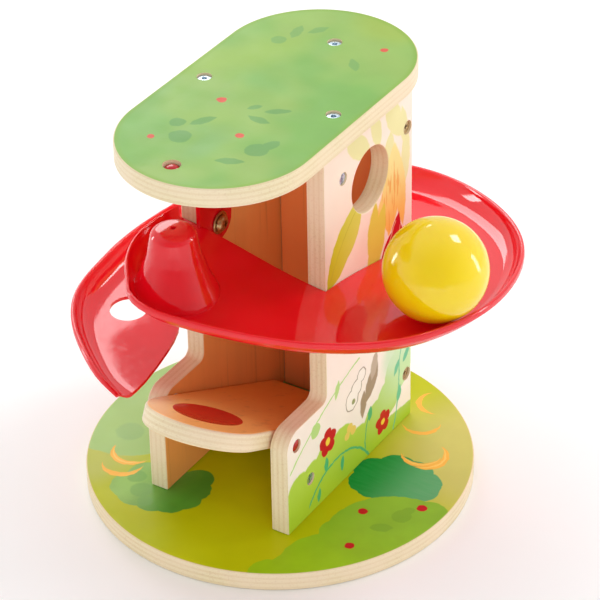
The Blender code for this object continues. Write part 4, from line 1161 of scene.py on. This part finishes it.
def make_chute(look):
    chute = make_chute_loft()
    hat, hollow = cone_shapes()
    tab = tab_plate(-INNER_HALF + GAP, chute_floor(240.0))
    boolean(chute, merged("additions", [hat, tab] + lug_blocks()), "UNION")
    holes = [hollow]
    top = Vector((CONE.x, CONE.y, chute_floor(cone_angle()) + CONE_HEIGHT))
    holes.append(cylinder("cone_hole", CONE_HOLE, 0.013, top))
    holes.append(cylinder("tab_hole", TAB_HOLE, 0.010, CHUTE_BOLT, (1, 0, 0)))
    for x, z in rear_lug_screws():
        holes.append(cylinder("lug_hole", SCREW_RADIUS + GAP, 0.012, (x, REAR, z), (0, 1, 0)))
    holes.append(cylinder("lug_hole", SCREW_RADIUS + GAP, 0.012, left_lug_screw(), (1, 0, 0)))
    drop = Vector((DROP_HOLE.x, DROP_HOLE.y, chute_floor(577.0)))
    holes.append(cylinder("drop_hole", DROP_HOLE_RADIUS, 0.03, drop, segments=FINE))
    cut(chute, merged("removals", holes))
    finished(chute, "spiral_chute", look, "tower", angle=40.0)


# ---------------------------------------------------------------- small hardware
def bolt(node, head_at, axis, length, look):
    """Flat-headed bolt with a round recess; head_at is the middle of the head's top."""
    socket, depth = 0.0016, 0.0014
    rim = HEAD_RADIUS - 0.0005
    profile = [(0, -depth), (socket, -depth), (socket, -0.0001), (socket + 0.0001, 0), (rim, 0),
               (HEAD_RADIUS - 0.00015, -0.00015), (HEAD_RADIUS, -0.0005), (HEAD_RADIUS, -HEAD_HEIGHT),
               (BOLT_RADIUS, -HEAD_HEIGHT), (BOLT_RADIUS, -length), (0, -length)]
    finished(turned("bolt", profile, head_at, axis), node, look, "tower")


def make_bolts(look):
    top = TOWER_TOP + GAP + PLY - HEAD_SINK
    for label, x, y in bolt_places(ROOF_BOLT_Y):
        length = top - ROOF_BARREL_Z + BARREL_RADIUS
        bolt("roof_bolt_" + label, Vector((x, y, top)), (0, 0, 1), length, look)
    for label, x, y in bolt_places(BASE_BOLT_Y):
        length = BASE_BARREL_Z - HEAD_SINK + BARREL_RADIUS
        bolt("base_bolt_" + label, Vector((x, y, HEAD_SINK)), (0, 0, -1), length, look)


def make_barrels(group, z, side_y, look):
    """Cross nuts: slotted plugs just below the panels' outer faces."""
    flush = 0.0008
    for label, x, y in bolt_places(side_y):
        if label == "back":
            axis, face, slot = Vector((0, 1, 0)), Vector((x, REAR - flush, z)), (0.0006, 0.0007, 0.006)
        else:
            axis, slot = Vector((math.copysign(1, x), 0, 0)), (0.0007, 0.0006, 0.006)
            face = Vector((math.copysign(TOWER_HALF - flush, x), y, z))
        profile = [(0, 0), (BARREL_RADIUS - 0.0004, 0), (BARREL_RADIUS, -0.0004),
                (BARREL_RADIUS, -BARREL_LENGTH),
                   (0, -BARREL_LENGTH)]
        nut = turned("nut", profile, face, axis)
        drill(nut, "bore", HOLE_RADIUS, 0.020, Vector((x, y, z)), (0, 0, 1))
        cut(nut, block("slot", face - Vector(slot), face + Vector(slot)))
        finished(nut, f"{group}_{label}", look, "tower")


def screw(node, head_at, axis, length, head_radius, look):
    """Countersunk wood screw with a cross recess; the shank tapers to a blunt point."""
    r = SCREW_RADIUS
    profile = [(0, -0.0002), (0.0014, -0.0001), (0.0018, 0), (head_radius - 0.0002, 0),
            (head_radius, -0.0005),
               (r, -0.0024), (r, -length + 0.003), (0.0006, -length), (0, -length)]
    piece = turned("screw", profile, head_at, axis)
    turn = turn_matrix(axis)
    for half in ((0.0018, 0.0004, 0.0013), (0.0004, 0.0018, 0.0013)):
        cross = block("cross", -Vector(half), Vector(half))
        cross.matrix_world = Matrix.Translation(head_at) @ turn
        cut(piece, cross)
    finished(piece, node, look, "tower")


def make_screws(look):
    for side, sign in SIDES:
        for level, z in zip(("low", "high"), PANEL_SCREW_HEIGHTS):
            at = Vector((sign * (TOWER_HALF - HEAD_SINK), BACK_Y, z))
            screw(f"panel_screw_{side}_{level}", at, (sign, 0, 0), 0.030, HEAD_RADIUS, look)
    stand = LUG_OFF_TOWER + LUG_THICK + 0.0027
    for side, (x, z) in zip(("left", "right"), rear_lug_screws()):
        screw("chute_screw_rear_" + side, Vector((x, REAR + stand, z)), (0, 1, 0), 0.0135, LUG_SCREW_HEAD,
                look)
    spot = left_lug_screw()
    screw("chute_screw_side", Vector((spot.x - stand, spot.y, spot.z)), (-1, 0, 0), 0.0125, LUG_SCREW_HEAD,
            look)


def make_chute_bolt(look):
    y, z = CHUTE_BOLT.y, CHUTE_BOLT.z
    washer_x = -INNER_HALF + GAP + TAB_THICK + GAP
    thick, wide = WASHER_THICK, WASHER_RADIUS
    profile = [(TAB_HOLE, thick), (wide - 0.0003, thick), (wide, thick - 0.0003), (wide, 0.0003),
               (wide - 0.0003, 0), (TAB_HOLE, 0)]
    washer = turned("washer", profile, (washer_x, y, z), (1, 0, 0), closed=True)
    finished(washer, "chute_washer", look, "tower")
    head_x = washer_x + thick + GAP
    tall = PAN_HEAD
    reach = -(head_x + TOWER_HALF - 0.0020)
    profile = [(0, tall), (0.0020, tall - 0.0001), (0.0031, tall - 0.00035), (0.0039, tall - 0.00075),
               (0.0046, tall - 0.0013), (0.0050, tall - 0.0019), (PAN_HEAD_RADIUS, tall - 0.0026),
                       (PAN_HEAD_RADIUS, 0),
               (BOLT_RADIUS, 0), (BOLT_RADIUS, reach), (0, reach)]
    head = turned("head", profile, (head_x, y, z), (1, 0, 0))
    at = Vector((head_x + tall, y, z))
    for half in ((0.0015, 0.0023, 0.0005), (0.0015, 0.0005, 0.0023)):
        cut(head, block("cross", at - Vector(half), at + Vector(half)))
    finished(head, "chute_bolt", look, "tower")
    profile = [(HOLE_RADIUS, TEE_LENGTH), (TEE_BARREL, TEE_LENGTH), (TEE_BARREL, TEE_FLANGE_THICK),
               (TEE_FLANGE, TEE_FLANGE_THICK), (TEE_FLANGE, 0.0002), (TEE_FLANGE - 0.0002, 0),
                       (HOLE_RADIUS, 0)]
    nut = turned("nut", profile, (-TOWER_HALF + GAP, y, z), (1, 0, 0), closed=True)
    finished(nut, "chute_tee_nut", look, "tower")


def make_plug(look):
    """Red plug let into the roof near its front; its round head lies just below the surface."""
    seat = TOWER_TOP + GAP + PLY - PLUG_SINK + GAP
    foot = TOWER_TOP + 2 * GAP
    profile = [(0, seat + 0.0038), (0.0013, seat + 0.0037), (0.0024, seat + 0.0034),
            (0.0034, seat + 0.0029),
               (0.0042, seat + 0.0021), (0.0048, seat + 0.0012), (PLUG_HEAD_RADIUS, seat + 0.0004),
               (PLUG_HEAD_RADIUS, seat), (PLUG_RADIUS, seat), (PLUG_RADIUS, foot), (0, foot)]
    finished(turned("plug", profile, (PLUG.x, PLUG.y, 0)), "roof_plug", look, "tower", 50.0)


def make_ball(look):
    """Two half shells: a round profile with a hairline groove where they were welded."""
    low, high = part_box("ball")
    centre = (low + high) / 2
    radius = BALL_RADIUS
    steps = 72
    profile = []
    for i in range(steps + 1):
        angle = math.pi * i / steps
        from_seam = abs(math.degrees(angle) - 90.0)
        reach = radius - (0.00012 if from_seam < 0.5 else 0.0)
        profile.append((reach * math.sin(angle), reach * math.cos(angle)))
    profile[0] = (0.0, radius)
    profile[-1] = (0.0, -radius)
    ball = turned("ball_shell", profile, centre, (0.35, 0.55, 0.76), segments=128)
    finished(ball, "ball", look, "ball", 60.0)


# ---------------------------------------------------------------- studio
def direction(azimuth, elevation):
    a, e = math.radians(azimuth), math.radians(elevation)
    return Vector((math.cos(a) * math.cos(e), math.sin(a) * math.cos(e), math.sin(e)))


def soft_light(name, azimuth, elevation, distance, width, height, power):
    """Softbox aimed at the middle of the toy."""
    light = bpy.data.lights.new(name, "AREA")
    light.shape = "RECTANGLE"
    light.size = width
    light.size_y = height
    light.energy = power
    lamp = bpy.data.objects.new(name, light)
    bpy.context.scene.collection.objects.link(lamp)
    away = direction(azimuth, elevation)
    lamp.location = Vector((0, 0, 0.13)) + distance * away
    lamp.rotation_euler = away.to_track_quat("Z", "Y").to_euler()
    return lamp


def make_floor():
    """Flat pale sheet just under the toy."""
    bm = bmesh.new()
    bmesh.ops.create_grid(bm, x_segments=24, y_segments=24, size=3.0)
    for vertex in bm.verts:
        vertex.co.z = -0.0002
    floor = from_bmesh("studio_floor", bm)
    n = Nodes("studio_paper")
    tone = n.mix(n.spread(n.noise(3.0, 2.0), 0.3, 0.7), (0.93, 0.93, 0.93, 1.0), (0.95, 0.95, 0.95, 1.0))
    floor.data.materials.append(n.set(Base_Color=tone, Roughness=0.9, Specular_IOR_Level=0.1))


def make_studio():
    make_floor()
    world = bpy.data.worlds.new("studio")
    world.use_nodes = True
    tree = world.node_tree
    back = tree.nodes["Background"]
    # white walls all round, dimmer on the side that the camera stands on
    coords = tree.nodes.new("ShaderNodeTexCoord")
    facing = tree.nodes.new("ShaderNodeVectorMath")
    facing.operation = "DOT_PRODUCT"
    facing.inputs[1].default_value = direction(CAMERA_TURN[0] - 90.0, 20.0)
    level = tree.nodes.new("ShaderNodeMapRange")
    for socket, number in zip(tuple(level.inputs)[1:5], (0.1, 0.9, WORLD_LIGHT, FRONT_LIGHT)):
        socket.default_value = number
    tree.links.new(coords.outputs["Generated"], facing.inputs[0])
    tree.links.new(facing.outputs["Value"], level.inputs[0])
    tree.links.new(level.outputs[0], back.inputs["Strength"])
    back.inputs["Color"].default_value = (1.0, 1.0, 1.0, 1.0)
    bpy.context.scene.world = world
    soft_light("key", 58.0, 50.0, 1.3, 0.35, 0.3, KEY_POWER)
    soft_light("right_strip", 37.0, 8.0, 1.3, 0.16, 0.6, RIGHT_POWER)
    soft_light("rear_left", 141.0, 31.0, 1.3, 0.7, 0.6, REAR_POWER)
    soft_light("left_strip", 190.0, 4.0, 1.2, 0.14, 0.6, LEFT_POWER)
    fill = soft_light("front_fill", CAMERA_TURN[0] - 90.0, 20.0, 1.5, 1.0, 0.8, FILL_POWER)
    fill.visible_glossy = False


def make_camera():
    azimuth, elevation, roll = (math.radians(v) for v in CAMERA_TURN)
    forward = Vector((-math.sin(azimuth) * math.cos(elevation), math.cos(azimuth) * math.cos(elevation),
                      -math.sin(elevation)))
    right = Vector((math.cos(azimuth), math.sin(azimuth), 0.0))
    up = right.cross(forward)
    x_axis = right * math.cos(roll) + up * math.sin(roll)
    y_axis = up * math.cos(roll) - right * math.sin(roll)
    lens = bpy.data.cameras.new("camera")
    lens.lens = CAMERA_LENS
    lens.sensor_width = 36.0
    camera = bpy.data.objects.new("camera", lens)
    turn = Matrix((x_axis, y_axis, -forward)).transposed().to_4x4()
    camera.matrix_world = Matrix.Translation(CAMERA_PLACE) @ turn
    bpy.context.scene.collection.objects.link(camera)
    bpy.context.scene.camera = camera


# ---------------------------------------------------------------- main

def main():
    red = plastic_look("red_gloss_plastic", ink(232, 14, 32), ink(226, 10, 26), 0.05, ior=1.6, glow=0.3,
                       depth=(0.012, 0.0012, 0.0008))
    cap_red = plastic_look("red_cap_plastic", ink(196, 16, 28), ink(180, 10, 20), 0.15)
    yellow = plastic_look("yellow_gloss_plastic", ink(240, 208, 4), ink(244, 214, 12), 0.08, ior=1.6,
            glow=0.4,
                          depth=(0.03, 0.024, 0.004))
    nylon = plastic_look("nylon", ink(232, 230, 222), ink(222, 220, 210), 0.4)
    zinc = metal_look("bright_zinc", ink(214, 228, 238), ink(176, 196, 212), 0.22)
    brass = metal_look("yellow_zinc", ink(206, 178, 130), ink(168, 138, 96), 0.28)
    make_base(base_look())
    make_side("right", 1, side_look("right_side_printed_plywood", 1))
    make_side("left", -1, side_look("left_side_printed_plywood", -1))
    make_back(back_look())
    make_roof(roof_look())
    make_lever(lever_look())
    make_caps(cap_red)
    make_chute(red)
    make_bolts(zinc)
    make_barrels("roof_nut", ROOF_BARREL_Z, ROOF_BOLT_Y, zinc)
    make_barrels("base_nut", BASE_BARREL_Z, BASE_BOLT_Y, zinc)
    make_screws(brass)
    make_chute_bolt(brass)
    make_plug(cap_red)
    make_ball(yellow)
    for names, look in ((HIDDEN_STEEL, zinc), (HIDDEN_NYLON, nylon)):
        for name in names:
            node = frame["nodes"][name]
            node.data.materials.clear()
            node.data.materials.append(look)
    make_studio()
    make_camera()
    bpy.context.scene.view_settings.view_transform = "Standard"


main()
